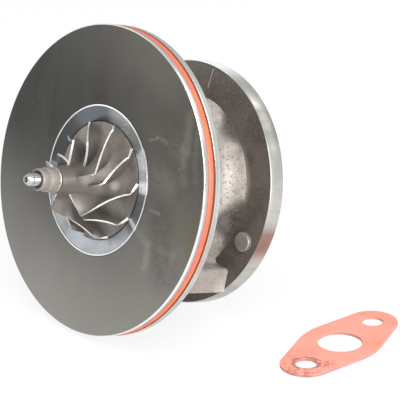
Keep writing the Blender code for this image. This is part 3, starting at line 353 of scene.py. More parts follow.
def makeDiscFinish():
    look = discFace
    net = Net("discFace")
    vector = net.coords()
    radius, angle, height = net.polar(vector)
    x, y, z = net.split(vector)
    # painted reflection: dark towards the top, pale towards the bottom, lighter dark to the right
    rise = net.plus(y, net.times(net.grain(vector, 14, 3.0, 0.5, 0.6), 0.03))
    dark = net.blend(net.between(x, -34 * mm, 44 * mm), look["dark"], look["darkReflectionRight"])
    net.colour = net.blend(net.between(rise, look["low"], look["high"]), look["paleReflection"], dark)
    streaks = net.grain(net.stretched(vector, (70, 22, 60)), 1.0, 4.0, 0.6, 0.6)
    net.lay(net.between(streaks, 0.35, 0.75, 0, 0.10), look["streak"])
    lines = net.grain(net.joined(net.times(angle, 0.004), radius, height), 2600, 2.0, 0.5)
    net.lay(net.between(lines, 0.35, 0.8, 0, 0.10), look["line"])
    smear = net.grain(net.stretched(vector, (30, 44, 30)), 1.0, 5.0, 0.62, 1.2)
    side = net.between(x, 22 * mm, 44 * mm)
    net.lay(net.times(net.times(net.between(smear, 0.50, 0.66), side), 0.55), look["stain"])
    wipe = net.grain(net.stretched(vector, (14, 36, 20)), 1.0, 1.0, 0.5, 1.6)
    wipe = net.between(net.away(wipe, 0.5), 0, 0.008, 1, 0)
    net.lay(net.times(wipe, net.times(side, 0.04)), look["wipe"])
    uneven = net.grain(net.stretched(vector, (240, 420, 300)), 1.0, 4.0, 0.6, 1.0)
    net.spots(vector, look["smears"], net.between(uneven, 0.40, 0.62))
    waved = net.swayed(vector, 130, 4.5)
    torn = net.between(uneven, 0.28, 0.56, 0.25, 1.0)
    # strokes along listed lines, some of them painted reflections
    for start, end, inner, outer, tone, share in look["strokes"]:
        net.lay(net.times(net.stroke(waved, start, end, inner, outer), net.times(torn, share)), tone)
    net.lay(net.between(net.grain(vector, 420, 2.0, 0.5), 0.74, 0.78, 0, 0.55), look["dust"])
    rough = net.worn(streaks, look["rough"], 0.85, 1.3)
    return net.surface(rough, net.bump(lines, 0.05, 0.00004), look["metal"])


castSkins = {
    "neckSkin": {
        "colour": (0.58, 0.53, 0.485), "dark": (0.32, 0.285, 0.255), "spot": (0.15, 0.125, 0.11), "spotShare": 0.60,
        "spotSize": 1150, "spotRange": (0.585, 0.66),
        "rough": 0.52, "metal": 0.25, "bumpDepth": 0.55, "blotch": 120,
        # painted shade and highlights: dark patches at the neck's foot and over its bright side, a pale lit patch
        # low on the neck, some smudges too
        "shadeHighlightsAndSmudges": (
            ((18.0, 23.5, -41), 2.5, 7.0, (0.13, 0.11, 0.096), 0.85),
            ((21.0, 28.5, -41), 5.5, 9.0, (0.080, 0.067, 0.057), 0.92),
            ((19.5, 15.5, -37.5), 2.0, 8.0, (0.33, 0.297, 0.265), 0.7),
            ((27, -7.5, -41), 4.0, 8.5, (0.085, 0.072, 0.063), 0.94),
            ((31, -4.0, -41), 3.5, 7.5, (0.080, 0.067, 0.057), 0.92),
            ((30, -14, -41), 2.0, 6.0, (0.10, 0.085, 0.075), 0.9),
            ((30, -28, -28), 6.0, 15.0, (0.29, 0.262, 0.238), 0.85),
            ((27.5, -20.5, -41), 2.0, 5.5, (0.11, 0.095, 0.085), 0.9),
            ((24.6, 3.5, -37), 3.0, 9.0, (0.40, 0.365, 0.33), 0.55),
            ((16, -23, -30), 2.0, 8.0, (0.14, 0.12, 0.105), 0.8),
            ((8.5, 33.5, -41.4), 0.8, 3.4, (0.09, 0.076, 0.065), 0.9),
            ((21.8, -20.5, -39.6), 1.6, 4.6, (0.64, 0.59, 0.54), 0.85),
        ),
        # painted shade in the crease at the neck's foot
        "foot": (0.082, 0.069, 0.058),
    },
    # painted shade: the flange face is a darker copy of the neck's cast skin
    "flangeSkin": {
        "colour": (0.128, 0.108, 0.090), "dark": (0.076, 0.063, 0.053), "spot": (0.36, 0.32, 0.27),
        "spotShare": 0.42, "spotSize": 1700, "spotRange": (0.62, 0.70), "rough": 0.50, "metal": 0.3,
        "bumpDepth": 0.35, "blotch": 90,
        # painted shade at the neck's foot, and the neck's lit tone painted onto the flange round the fillet
        "shadeHighlightsAndSmudges": (((16, 34, -41.4), 1.0, 9.0, (0.075, 0.06, 0.05), 0.5),), "litFilletTone": (0.42, 0.38, 0.345),
    },
    "castBack": {
        "colour": (0.22, 0.195, 0.175), "dark": (0.12, 0.10, 0.09), "spot": (0.05, 0.04, 0.035), "spotShare": 0.7,
        "spotSize": 950, "spotRange": (0.62, 0.68), "rough": 0.48, "metal": 0.8, "bumpDepth": 0.4, "blotch": 100,
        "shadeHighlightsAndSmudges": (),
    },
}


def makeCastFinish(name):
    look = castSkins[name]
    net = Net(name, look["colour"])
    vector = net.coords()
    blotch = net.grain(vector, look["blotch"], 6.0, 0.65, 0.6)
    net.lay(net.between(blotch, 0.42, 0.70, 0, 0.8), look["dark"])
    # painted shade and highlights in listed places, with some smudges
    net.spots(vector, look["shadeHighlightsAndSmudges"])
    radius, angle, height = net.polar(vector)
    reach = net.plus(radius, net.times(blotch, 3 * mm))
    beside = net.times(net.between(angle, -0.06, 0.14), net.between(angle, 0.50, 0.74, 1, 0))
    if "litFilletTone" in look:  # painted light: the neck's lit tone runs wavily onto the flange beside the fillet
        net.lay(net.times(net.between(reach, 32.6 * mm, 35.6 * mm, 0.75, 0.0), beside), look["litFilletTone"])
    # painted shade: the neck darkens towards its foot on the flange, away from the lit side
    if "foot" in look:
        fade = net.between(reach, 30.3 * mm, 33.2 * mm, 0.0, 0.92)
        for limit in (
            net.between(height, -39 * mm, -36 * mm, 1, 0), net.between(angle, -0.70, -0.45),
            net.between(angle, 1.08, 1.25, 1, 0), net.minus(1.0, beside),
        ):
            fade = net.times(fade, limit)
        net.lay(fade, look["foot"])
    sand = net.grain(vector, 1500, 3.0, 0.6)
    net.lay(net.between(sand, 0.42, 0.72, 0, 0.45), look["dark"])
    pits = net.between(net.grain(vector, look["spotSize"], 2.0, 0.5), *look["spotRange"])
    net.lay(net.times(pits, look["spotShare"]), look["spot"])
    depth = look["bumpDepth"]
    low = net.bump(net.grain(vector, 300, 3.0, 0.6), depth * 0.6, 0.0006)
    fine = net.bump(sand, depth, 0.0002, low)
    normal = net.bump(net.minus(1.0, pits), depth, 0.00012, fine)
    return net.surface(net.worn(sand, look["rough"], 0.8, 1.3), normal, look["metal"])


flangeRim = {
    "colour": (0.55, 0.533, 0.50), "dark": (0.40, 0.385, 0.352), "copper": (0.23, 0.105, 0.075),
    "rough": 0.36, "copperAngle": -0.24, "copperWidth": 0.20, "metal": 0.80,
    # painted reflections: bright and dark bands at listed angles round the rim
    "reflectionSectors": (
        (98, 8, 26, (0.96, 0.96, 0.95), 0.85), (43, 5, 8, (0.24, 0.23, 0.21), 0.85),
        (66, 4, 7, (0.30, 0.29, 0.27), 0.16), (-48, 3, 6, (0.26, 0.25, 0.23), 0.35),
    ),
}


def makeRimFinish():
    look = flangeRim
    net = Net("flangeRim", look["colour"])
    radius, angle, height = net.polar(net.coords())
    lines = net.grain(net.joined(net.times(angle, 0.02), radius, height), 2400, 3.0, 0.6)
    across = net.grain(net.joined(net.times(angle, 0.6), 0.0, net.times(height, 3.0)), 34, 4.0, 0.6)
    net.lay(net.between(across, 0.3, 0.75, 0, 0.5), look["dark"])
    net.lay(net.between(lines, 0.3, 0.8, 0, 0.3), look["dark"])
    far, wide = net.away(angle, look["copperAngle"]), look["copperWidth"]
    net.lay(net.between(far, wide * 0.25, wide, 0.70, 0.0), look["copper"])
    # painted reflections in the rim's sectors
    metal = net.reflectionSectors(angle, look["reflectionSectors"], look["metal"])
    return net.surface(net.worn(across, look["rough"], 0.8, 1.3), net.bump(lines, 0.08, 0.00005), metal)


# tones of the painted glints on the hub and of the painted shade on blade fronts
paintedGlint, bladeShadeTone = (0.78, 0.75, 0.72), (0.26, 0.235, 0.215)
wheelSkins = {
    "wheelCast": {
        "colour": (0.300, 0.270, 0.246), "dark": (0.20, 0.175, 0.157), "rough": 0.48, "metal": 0.65,
        # painted glints: two bright spots on the hub
        "spots": (((11.9, 1.3, 2.2), 0.3, 2.6, paintedGlint, 0.55), ((0.8, -8.7, 4.8), 0.3, 2.8, paintedGlint, 0.55)),
    },
    "wheelEdge": {
        "colour": (0.93, 0.92, 0.90), "dark": (0.72, 0.70, 0.67), "rough": 0.28, "metal": 0.55,
        "spots": (  # painted shade on the blade fronts
            ((7.8, 2.9, 13), 3.0, 5.0, bladeShadeTone, 0.85), ((8.6, 0.3, 9.6), 2.6, 4.6, bladeShadeTone, 0.85),
            ((-4.7, 6.4, 12.8), 3.0, 5.0, bladeShadeTone, 0.45), ((-9.5, 2.8, 12.7), 3.0, 5.0, bladeShadeTone, 0.60),
            ((-9.3, 5.2, 9.0), 3.5, 5.5, bladeShadeTone, 0.65),
        ),
    },
    "turbineCast": {
        "colour": (0.30, 0.27, 0.25), "dark": (0.17, 0.15, 0.14), "rough": 0.42, "metal": 0.95, "spots": (),
    },
    "turbineEdge": {
        "colour": (0.50, 0.48, 0.46), "dark": (0.33, 0.31, 0.30), "rough": 0.33, "metal": 1.0, "spots": (),
    },
}


def makeWheelFinish(name):
    look = wheelSkins[name]
    net = Net(name, look["colour"])
    vector = net.coords()
    net.lay(net.between(net.grain(vector, 160, 5.0, 0.6, 0.5), 0.35, 0.72), look["dark"])
    fine = net.grain(vector, 2200, 3.0, 0.6)
    net.lay(net.between(fine, 0.4, 0.8, 0, 0.25), look["dark"])
    # painted shade: darker towards the hub
    net.lay(net.between(net.polar(vector)[0], 5.5 * mm, 8.5 * mm, 0.75, 0.0), look["dark"])
    net.spots(vector, look["spots"])
    low = net.bump(net.grain(vector, 500, 2.0, 0.5), 0.10, 0.0003)
    normal = net.bump(fine, 0.16, 0.00008, low)
    return net.surface(net.worn(fine, look["rough"], 0.85, 1.25), normal, look["metal"])


rubbers = {
    "orangeRubber": {
        "colour": (0.83, 0.155, 0.064), "dark": (0.66, 0.100, 0.036), "rough": 0.42, "flankShade": (0.40, 0.165, 0.15),
    },
    "blackRubber": {
        "colour": (0.035, 0.035, 0.035), "dark": (0.015, 0.015, 0.015), "rough": 0.55, "flankShade": (0.03, 0.03, 0.03),
    },
}


def makeRubber(name):
    look = rubbers[name]
    net = Net(name, look["colour"])
    vector = net.coords()
    blotch = net.grain(vector, 120, 4.0, 0.6)
    net.lay(net.between(blotch, 0.35, 0.75, 0, 0.5), look["dark"])
    net.lay(net.between(net.grain(vector, 1500, 2.0, 0.5), 0.70, 0.76, 0, 0.3), (0.75, 0.55, 0.45))
    # painted shade on the ring's front flank
    net.lay(net.between(net.split(vector)[2], -3.1 * mm, -2.4 * mm, 0.0, 0.9), look["flankShade"])
    normal = net.bump(net.grain(vector, 2600, 2.0, 0.5), 0.08, 0.00006)
    return net.surface(net.worn(blotch, look["rough"], 0.85, 1.2), normal, specular=0.4)


gasketLook = {
    "face": (0.97, 0.355, 0.275), "warm": (0.93, 0.275, 0.195), "worn": (0.36, 0.15, 0.125),
    "edge": (0.46, 0.24, 0.21),
    "fibre": (1.0, 0.60, 0.50), "rough": 0.62, "wornRing": 4.5,
    "stains": (  # where on the sheet, inner and outer reach, tone, share
        ((-28.6, 1.5, 1), 0.8, 3.8, (0.42, 0.13, 0.07), 0.85), ((24.5, 6.2, 1), 0.3, 2.2, (0.30, 0.15, 0.12), 0.75),
        ((-17.2, -5.6, 1), 1.5, 4.6, (0.33, 0.135, 0.11), 0.90),
        ((-20, 7.6, 1), 1.0, 3.4, (0.36, 0.15, 0.125), 0.70),
        ((8, -10.5, 1), 1.0, 4.0, (0.45, 0.19, 0.15), 0.45),
    ),
}


def makeGasketFinish(name, base):
    look = gasketLook
    net = Net(name, base)
    vector = net.coords(gasketPlace, (0, 0, gasketTurn))
    net.lay(net.between(net.grain(vector, 60, 4.0, 0.6, 0.4), 0.38, 0.70, 0, 0.55), look["warm"])
    fibre = net.grain(net.stretched(vector, (1, 3, 1)), 1100, 4.0, 0.7)
    net.lay(net.between(fibre, 0.5, 0.8, 0, 0.22), look["fibre"])
    leftEnd = net.between(net.split(vector)[0], -26 * mm, -13 * mm, 1, 0)
    scuff = net.times(net.between(net.grain(vector, 340, 3.0, 0.6, 1.0), 0.54, 0.62), leftEnd)
    net.lay(net.times(scuff, 0.75), look["worn"])
    hole = (-gasketSize["reach"] * mm, 0, gasketSize["thick"] * mm)
    ring = net.away(net.vectors("DISTANCE", {0: vector, 1: hole}, "Value"), look["wornRing"] * mm)
    broken = net.between(net.grain(vector, 620, 3.0, 0.6), 0.36, 0.52)
    net.lay(net.times(net.between(ring, 0.3 * mm, 1.1 * mm, 0.85, 0.0), broken), look["worn"])
    net.spots(vector, look["stains"], net.between(net.grain(vector, 900, 3.0, 0.65, 0.6), 0.47, 0.58))
    return net.surface(look["rough"], net.bump(fibre, 0.25, 0.00008), specular=0.25)


# Mesh building blocks


def standing(name, bm):  # an object with this mesh, linked to the scene
    mesh = bpy.data.meshes.new(name)
    bm.to_mesh(mesh)
    bm.free()
    piece = bpy.data.objects.new(name, mesh)
    bpy.context.scene.collection.objects.link(piece)
    return piece


def spun(points, steps, closed=True):
    bm = bmesh.new()
    rim = [bm.verts.new((radius * mm, 0, height * mm)) for radius, height in points]
    edges = [bm.edges.new(pair) for pair in zip(rim, rim[1:])]
    if closed:
        edges.append(bm.edges.new((rim[-1], rim[0])))
    bmesh.ops.spin(
        bm, geom=rim + edges, cent=(0, 0, 0), axis=(0, 0, 1), angle=2 * math.pi, steps=steps, use_merge=True
    )
    bmesh.ops.remove_doubles(bm, verts=bm.verts, dist=0.000002)
    bmesh.ops.recalc_face_normals(bm, faces=bm.faces)
    return bm


def bevelled(bm, edges, width, segments):
    bmesh.ops.bevel(
        bm, geom=edges, offset=width * mm, offset_type="OFFSET", segments=segments, profile=0.5,
        affect="EDGES", material=-1, clamp_overlap=True,
    )


def softened(bm, width, segments=2, sharpest=28):
    limit = math.radians(sharpest)
    edges = [edge for edge in bm.edges if len(edge.link_faces) == 2 and edge.calc_face_angle() > limit]
    bevelled(bm, edges, width, segments)


def painted(bm, index, choose):  # choose gets a face's reach and height in mm and how far it looks up
    for face in bm.faces:
        middle = face.calc_center_median() / mm
        if choose(middle.xy.length, middle.z, face.normal.z):
            face.material_index = index


def finishPiece(bm, name, body, node, looks, place=toPart, smooth=40):
    bmesh.ops.transform(bm, matrix=place, verts=bm.verts)
    piece = standing(name, bm)
    piece.data.shade_smooth()
    piece.data.set_sharp_from_angle(angle=math.radians(smooth))
    for look in looks.split():
        piece.data.materials.append(finishes[look])
    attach(piece, body)
    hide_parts(node)
    return piece


def arcPoints(centreR, centreZ, radius, start, end, steps):
    turns = [math.radians(start + (end - start) * k / steps) for k in range(steps + 1)]
    return [(centreR + radius * math.cos(a), centreZ + radius * math.sin(a)) for a in turns]


# Compressor-side disc

discSize = {
    "radius": 53.98, "bore": 26.35, "thick": 7.8, "chamfer": 0.22, "polish": 0.95, "land": 1.9, "grooveEnd": 5.25,
    "grooveRadius": 50.6, "boreDepth": 6.4, "coneRadius": 37.0, "coneHeight": 3.0, "coneFoot": 31.0, "inner": 24.0,
    "stepAt": 6.1, "stepDeep": 0.12,
}


def makeDisc():
    size = named(discSize)
    edge, wide, land, rear = size.chamfer, size.radius, size.land, -size.thick
    bm = spun([
        (size.bore, 0), (wide - edge, 0), (wide, -edge), (wide, -size.polish), (wide, -land),
        (size.grooveRadius, -land), (size.grooveRadius, -size.grooveEnd), (wide, -size.grooveEnd),
        (wide, -size.stepAt), (wide - size.stepDeep, -size.stepAt - 0.1),
        (wide - size.stepDeep, rear + edge), (wide - edge, rear),
        (size.coneRadius, rear), (size.coneFoot, rear - size.coneHeight), (size.inner, rear - size.coneHeight),
        (size.inner, -size.boreDepth), (size.bore, -size.boreDepth),
    ], 256)
    softened(bm, 0.05, 1)
    painted(bm, 3, lambda reach, z, up: z < rear + 0.01)
    painted(bm, 1, lambda reach, z, up: abs(up) < 0.3 and reach > 50)
    painted(bm, 2, lambda reach, z, up: 0.3 <= up < 0.98 and reach > 52)
    painted(bm, 4, lambda reach, z, up: abs(up) < 0.3 and reach > wide - 0.4 and -z < land - 0.1)
    painted(bm, 2, lambda reach, z, up: abs(up) < 0.3 and reach > wide - 0.4 and -z < size.polish)
    painted(bm, 5, lambda reach, z, up: land - 0.05 < -z < size.grooveEnd + 0.05 and 49 < reach < wide - 0.6)
    looks = "discFace rimSilver chamferBright castBack landGrey grooveWall"
    finishPiece(bm, "sealing_disc", "housing", "bearing_housing", looks)


ringSize = {"radius": 52.30, "height": -3.52, "wide": 1.66, "tall": 1.58, "square": 0.85, "steps": 28}


def makeDiscRing():
    size = named(ringSize)
    profile = []
    for step in range(size.steps):
        turn = 2 * math.pi * step / size.steps
        side, rise = math.cos(turn), math.sin(turn)
        profile.append((
            size.radius + size.wide * math.copysign(abs(side) ** size.square, side),
            size.height + size.tall * math.copysign(abs(rise) ** size.square, rise),
        ))
    bm = spun(profile, 256)
    finishPiece(bm, "disc_o_ring_fine", "housing", "disc_o_ring", "orangeRubber")


# Seal plate round the compressor wheel

plateSize = {
    "radius": 26.2, "recess": 20.75, "dish": -1.0, "lip": 0.3, "lipWide": 0.55, "floor": -1.7, "bore": 5.9,
    "rear": -6.0, "hub": 10.8, "hubRear": -4.3,
}


def makeSealPlate():
    size = named(plateSize)
    start = size.radius - size.lipWide
    bm = spun([
        (size.recess, size.dish), (start - 0.15, -0.12), (start, 0.0), (start, size.lip), (size.radius, size.lip),
        (size.radius, size.rear), (size.hub, size.rear), (size.hub, size.hubRear), (size.bore, size.hubRear),
        (size.bore, size.floor), (size.recess, size.floor),
    ], 224)
    softened(bm, 0.10, 2)
    painted(bm, 1, lambda reach, z, up: reach > start - 0.02 and z > -0.1)
    finishPiece(bm, "seal_plate_fine", "housing", "seal_plate", "ringSteel chamferBright")


# Turbine-side flange

flangeSize = {
    "front": -41.4, "thick": 6.1, "radius": 43.48, "chamfer": 0.22, "nose": 13.5, "noseLong": 3.0, "bore": 7.17,
    "recess": 23.65, "recessDeep": 1.2, "seamAt": (2.7, 38.6), "seamLong": 7.0,
    "seamLean": 7.0, "seamHalf": 0.13, "neckHole": 24.0,
}


def makeFlange():
    size = named(flangeSize)
    front, rear, edge, wide = size.front, size.front - size.thick, size.chamfer, size.radius
    floor, nose = rear + size.recessDeep, rear - size.noseLong
    bm = spun([
        (size.bore, front - 0.5), (size.neckHole, front - 0.5), (size.neckHole, front), (wide - edge, front),
        (wide, front - edge), (wide, rear + edge), (wide - edge, rear), (size.recess, rear), (size.recess, floor),
        (size.nose, floor), (size.nose, nose), (size.bore, nose),
    ], 224)
    softened(bm, 0.06, 1)
    boxAt(bm, (-size.seamHalf, -size.seamLong / 2, -0.4), (size.seamHalf, size.seamLong / 2, 0.10), 0.05)
    seamPlace = Matrix.Translation(Vector((*size.seamAt, front)) * mm)
    seamTurn = Matrix.Rotation(math.radians(-size.seamLean), 4, "Z")
    seam = [vert for vert in bm.verts if vert.co.z > -1 * mm]
    bmesh.ops.transform(bm, matrix=seamPlace @ seamTurn, verts=seam)
    bm.normal_update()
    painted(bm, 3, lambda reach, z, up: up < -0.3)
    painted(bm, 1, lambda reach, z, up: abs(up) < 0.3 and reach > 43.2)
    painted(bm, 1, lambda reach, z, up: 0.3 <= up < 0.98 and reach > 43.1)
    painted(bm, 2, lambda reach, z, up: z > front + 0.05)
    looks = "flangeSkin flangeRim chamferBright castBack"
    finishPiece(bm, "turbine_flange", "housing", "bearing_housing", looks)


# Cast neck with the drain block and the oil inlet boss

neckSize = {
    "barrel": 25.5, "fillet": 7.0, "front": -10.8, "rear": -41.4, "voxel": 0.55,
    "drainHalf": 30.3, "drainDrop": 32.0, "drainThick": 8.8, "drainFront": -11.4, "webTop": 14.5, "webFoot": 15.5,
    "bossRadius": 8.5, "bossTop": 34.0, "bossPlace": -25.0, "portRadius": 7.8, "boltRadius": 3.0,
    "boltPlace": 21.0, "inletRadius": 4.3, "inletDepth": 9.0, "galleryRadius": 1.5, "waistHalf": 26.2,
    "waistTop": -4.0, "waistFoot": -23.0, "chamberHalf": 6.8, "chamberTop": -3.2, "chamberFloor": -26.8,
    "chamberFront": -10.9, "chamberRear": -39.8, "rounds": 7, "uneven": ((0.13, 210), (0.05, 800)),
    "bores": (
        (0.0, -8.0), (17.0, -8.0), (17.0, -11.9), (8.75, -11.9), (8.75, -14.2), (6.32, -14.2), (6.32, -22.5),
        (15.0, -22.5), (15.0, -29.2), (6.32, -29.2), (6.32, -38.8), (8.6, -38.8), (8.6, -40.8), (7.17, -40.8),
        (7.17, -46.0), (0.0, -46.0),
    ),
}


def boxAt(bm, low, high, corner):
    made = bmesh.ops.create_cube(bm, size=1)["verts"]
    low, high = Vector(low) * mm, Vector(high) * mm
    bmesh.ops.scale(bm, vec=high - low, verts=made)
    bmesh.ops.translate(bm, vec=(low + high) / 2, verts=made)
    bevelled(bm, list({edge for vert in made for edge in vert.link_edges}), corner, 3)
    return made


def prismAt(bm, radius, long, sides):
    return bmesh.ops.create_cone(
        bm, cap_ends=True, segments=sides, radius1=radius * mm, radius2=radius * mm, depth=long * mm
    )["verts"]


def barAt(bm, radius, centre, low, high):  # a round bar along the part's upward axis
    made = prismAt(bm, radius, high - low, 48)
    place = Matrix.Translation(Vector((centre[0], (low + high) / 2, centre[1])) * mm)
    bmesh.ops.transform(bm, matrix=place @ Matrix.Rotation(-math.pi / 2, 4, "X"), verts=made)


def helper(name, bm, place=None):
    if place is not None:
        bmesh.ops.transform(bm, matrix=place, verts=bm.verts)
    bmesh.ops.recalc_face_normals(bm, faces=bm.faces)
    return standing(name, bm)


def taken(piece, others=()):  # the mesh with its modifiers applied; the others go
    bpy.context.view_layer.update()
    graph = bpy.context.evaluated_depsgraph_get()
    mesh = bpy.data.meshes.new_from_object(piece.evaluated_get(graph))
    for other in others:
        bpy.data.objects.remove(other, do_unlink=True)
    return mesh


def cutWith(piece, tools):
    for tool in tools:
        step = piece.modifiers.new(tool.name, "BOOLEAN")
        step.object = tool
        step.operation = "DIFFERENCE"
        step.solver = "MANIFOLD"


def skinOver(piece):
    step = piece.modifiers.new("skin", "REMESH")
    step.mode = "VOXEL"
    step.voxel_size = neckSize["voxel"] * mm


def makeNeck():
    size = named(neckSize)
    wide, fillet, front, rear = size.barrel + size.fillet, size.fillet, size.front, size.rear
    outline = [(0.01, front + 2), (wide + 3.5, front + 2), (wide, front)]
    outline += arcPoints(wide, front - fillet, fillet, 95, 180, 8)
    outline += arcPoints(wide, rear + fillet, fillet, 180, 268, 8)
    outline += [(wide, rear - 1.5), (0.01, rear - 1.5)]
    bm = spun(outline, 96, closed=True)
    top, foot = size.drainThick - size.drainDrop, -size.drainDrop - 1.6  # the foot is cut back below
    boxAt(bm, (-size.drainHalf, foot, rear - 1.5), (size.drainHalf, top, size.drainFront), 0.9)
    web = boxAt(bm, (-size.webFoot, top - 3, rear + 2), (size.webFoot, 0, size.drainFront - 1.5), 3.0)
    for vert in web:
        if vert.is_valid and vert.co.y > -6 * mm:
            vert.co.x *= size.webTop / size.webFoot
    barAt(bm, size.bossRadius, (0, size.bossPlace), 10, size.bossTop + 1)
    rough = helper("neckRough", bm)
    skinOver(rough)
    waists = []
    for side in (-1, 1):
        bm = bmesh.new()
        ends = sorted((side * size.waistHalf, side * (wide + 3)))
        boxAt(bm, (ends[0], size.waistFoot, rear + 0.2), (ends[1], size.waistTop, front - 0.2), 2.0)
        waists.append(helper(f"waist{side}", bm))
    cutWith(rough, waists)
    skinOver(rough)
    bm = bmesh.new()
    bm.from_mesh(taken(rough, [rough] + waists))
    for _ in range(size.rounds):
        bmesh.ops.smooth_vert(bm, verts=bm.verts, factor=0.5, use_axis_x=True, use_axis_y=True, use_axis_z=True)
    bm.normal_update()
    for vert in bm.verts:  # sand casting is never quite even
        for height, scale in size.uneven:
            vert.co += vert.normal * height * mm * noise.noise(vert.co * scale)
    for height, way in ((-size.drainDrop, (0, -1, 0)), (size.bossTop, (0, 1, 0))):
        cut = bmesh.ops.bisect_plane(
            bm, geom=bm.verts[:] + bm.edges[:] + bm.faces[:], dist=1e-7, plane_co=(0, height * mm, 0),
            plane_no=way, clear_outer=True,
        )
        rims = [item for item in cut["geom_cut"] if isinstance(item, bmesh.types.BMEdge)]
        for face in bmesh.ops.holes_fill(bm, edges=rims)["faces"]:
            face.material_index = 1
    return bm


def cutBores(neck):
    size = named(neckSize)
    place = size.bossPlace
    ports = (
        (size.portRadius, (0, place), -40, -24), (size.boltRadius, (size.boltPlace, place), -40, -20),
        (size.boltRadius, (-size.boltPlace, place), -40, -20),
        (size.inletRadius, (0, place), size.bossTop - size.inletDepth, 40),
        (size.galleryRadius, (0, place), 3, 30),
    )
    tools = []
    for number, port in enumerate(ports):
        bm = bmesh.new()
        barAt(bm, *port)
        tools.append(helper(f"port{number}", bm, toPart))
    bm = bmesh.new()
    low = (-size.chamberHalf, size.chamberFloor, size.chamberRear)
    boxAt(bm, low, (size.chamberHalf, size.chamberTop, size.chamberFront), 2.0)
    tools.append(helper("drainChamber", bm, toPart))
    bm = spun(size.bores, 72, closed=False)
    tools.append(helper("bores", bm, toPart))
    cutWith(neck, tools)
    cut = taken(neck, tools)
    neck.modifiers.clear()
    neck.data = cut


# Compressor wheel

wheelSize = {
    "radius": 20.3, "back": -1.3, "rimFront": -0.7, "hubFront": 19.0, "hubTop": 4.6, "hubRadius": 5.3,
    "hubFlare": 14.0, "eyeRadius": 13.8, "eyeFront": 12.6, "tipWide": 2.8, "blades": 5, "phase": 11.6,
    "exitLean": 9.7, "hubWrap": 62.9, "tipWrap": 49.7, "hubBend": 0.49, "tipBend": 1.49,
    "hubRise": 0.85, "hubSpread": 1.15, "tipRise": 0.46, "tipSpread": 1.97,
    "splitHub": 0.25, "splitTip": 0.42, "bore": 2.55,
    "grid": (34, 9), "thick": (1.15, 0.60),  # along and across a blade; its root and its tip
}


def wheelCurve(share, radius, low, high, riseBend, spreadBend):
    turn = share * math.pi / 2
    rise = max(0.0, 1 - math.sin(turn)) ** riseBend
    reach = radius + (wheelSize["radius"] - radius) * (1 - math.cos(turn)) ** spreadBend
    return reach, low + (high - low) * rise, rise


def wheelHub(share):
    size = named(wheelSize)
    return wheelCurve(share, size.hubRadius, size.rimFront, size.hubFlare, size.hubRise, size.hubSpread)


def wheelTip(share):
    size = named(wheelSize)
    low = size.rimFront + size.tipWide
    return wheelCurve(share, size.eyeRadius, low, size.eyeFront, size.tipRise, size.tipSpread)


def wheelBladePoint(along, across, hubStart, tipStart):
    size = named(wheelSize)
    hubRadius, hubHeight, hubRise = wheelHub(hubStart + (1 - hubStart) * along)
    tipRadius, tipHeight, tipRise = wheelTip(tipStart + (1 - tipStart) * along)
    hubLag = size.hubWrap * hubRise ** size.hubBend
    tipLag = size.exitLean + size.tipWrap * tipRise ** size.tipBend
    level = across * 1.05 - 0.05
    radius = min(hubRadius + (tipRadius - hubRadius) * level, size.radius - 0.1)
    height = hubHeight + (tipHeight - hubHeight) * level
    return radius, height, -math.radians(hubLag + (tipLag - hubLag) * level)


def addBlade(bm, point, grid, thick, turn):
    sheet = bmesh.new()
    bmesh.ops.create_grid(sheet, x_segments=grid[0], y_segments=grid[1], size=0.5)
    thickness = {}
    for vert in sheet.verts:
        along, across = vert.co.x + 0.5, vert.co.y + 0.5
        thickness[vert] = thick[0] + (thick[1] - thick[0]) * across ** 0.6
        radius, height, angle = point(along, across)
        vert.co = Vector((radius * math.cos(angle + turn), radius * math.sin(angle + turn), height)) * mm
    bmesh.ops.recalc_face_normals(sheet, faces=sheet.faces)
    sheet.normal_update()
    half = {vert: vert.normal * thickness[vert] * mm / 2 for vert in sheet.verts}
    rim = [edge for edge in sheet.edges if edge.is_boundary]
    twin = bmesh.ops.duplicate(sheet, geom=sheet.verts[:] + sheet.edges[:] + sheet.faces[:])
    for vert, shift in half.items():
        vert.co += shift
        twin["vert_map"][vert].co -= shift
    backs = [item for item in twin["geom"] if isinstance(item, bmesh.types.BMFace)]
    bmesh.ops.reverse_faces(sheet, faces=backs)
    loops = rim + [twin["edge_map"][edge] for edge in rim]
    for face in bmesh.ops.bridge_loops(sheet, edges=loops)["faces"]:
        face.material_index = 1
    bmesh.ops.recalc_face_normals(sheet, faces=sheet.faces)
    mesh = bpy.data.meshes.new("bladeSheet")
    sheet.to_mesh(mesh)
    sheet.free()
    bm.from_mesh(mesh)
    bpy.data.meshes.remove(mesh)


def makeCompressorWheel():
    size = named(wheelSize)
    hub = [(size.bore, size.hubFront), (size.hubTop, size.hubFront)]
    hub += [wheelHub(step / 24)[:2] for step in range(25)]
    hub += [(size.radius, size.back), (size.bore, size.back)]
    bm = spun(hub, 144)
    softened(bm, 0.06, 1, 50)
    for number in range(size.blades):
        for ahead, hubStart, tipStart in ((0, 0.0, 0.0), (0.5, size.splitHub, size.splitTip)):
            turn = math.radians(size.phase) + 2 * math.pi / size.blades * (number + ahead)
            blade = partial(wheelBladePoint, hubStart=hubStart, tipStart=tipStart)
            addBlade(bm, blade, size.grid, size.thick, turn)
    looks = "wheelCast wheelEdge"
    finishPiece(bm, "compressor_wheel_fine", "rotor", "compressor_wheel", looks)


# Nut and shaft

nutSize = {
    "rear": 19.2, "front": 26.8, "radius": 4.2, "nose": 3.85, "step": 23.4, "bore": 2.35,
    "mouth": 2.9, "washer": 4.35,
}


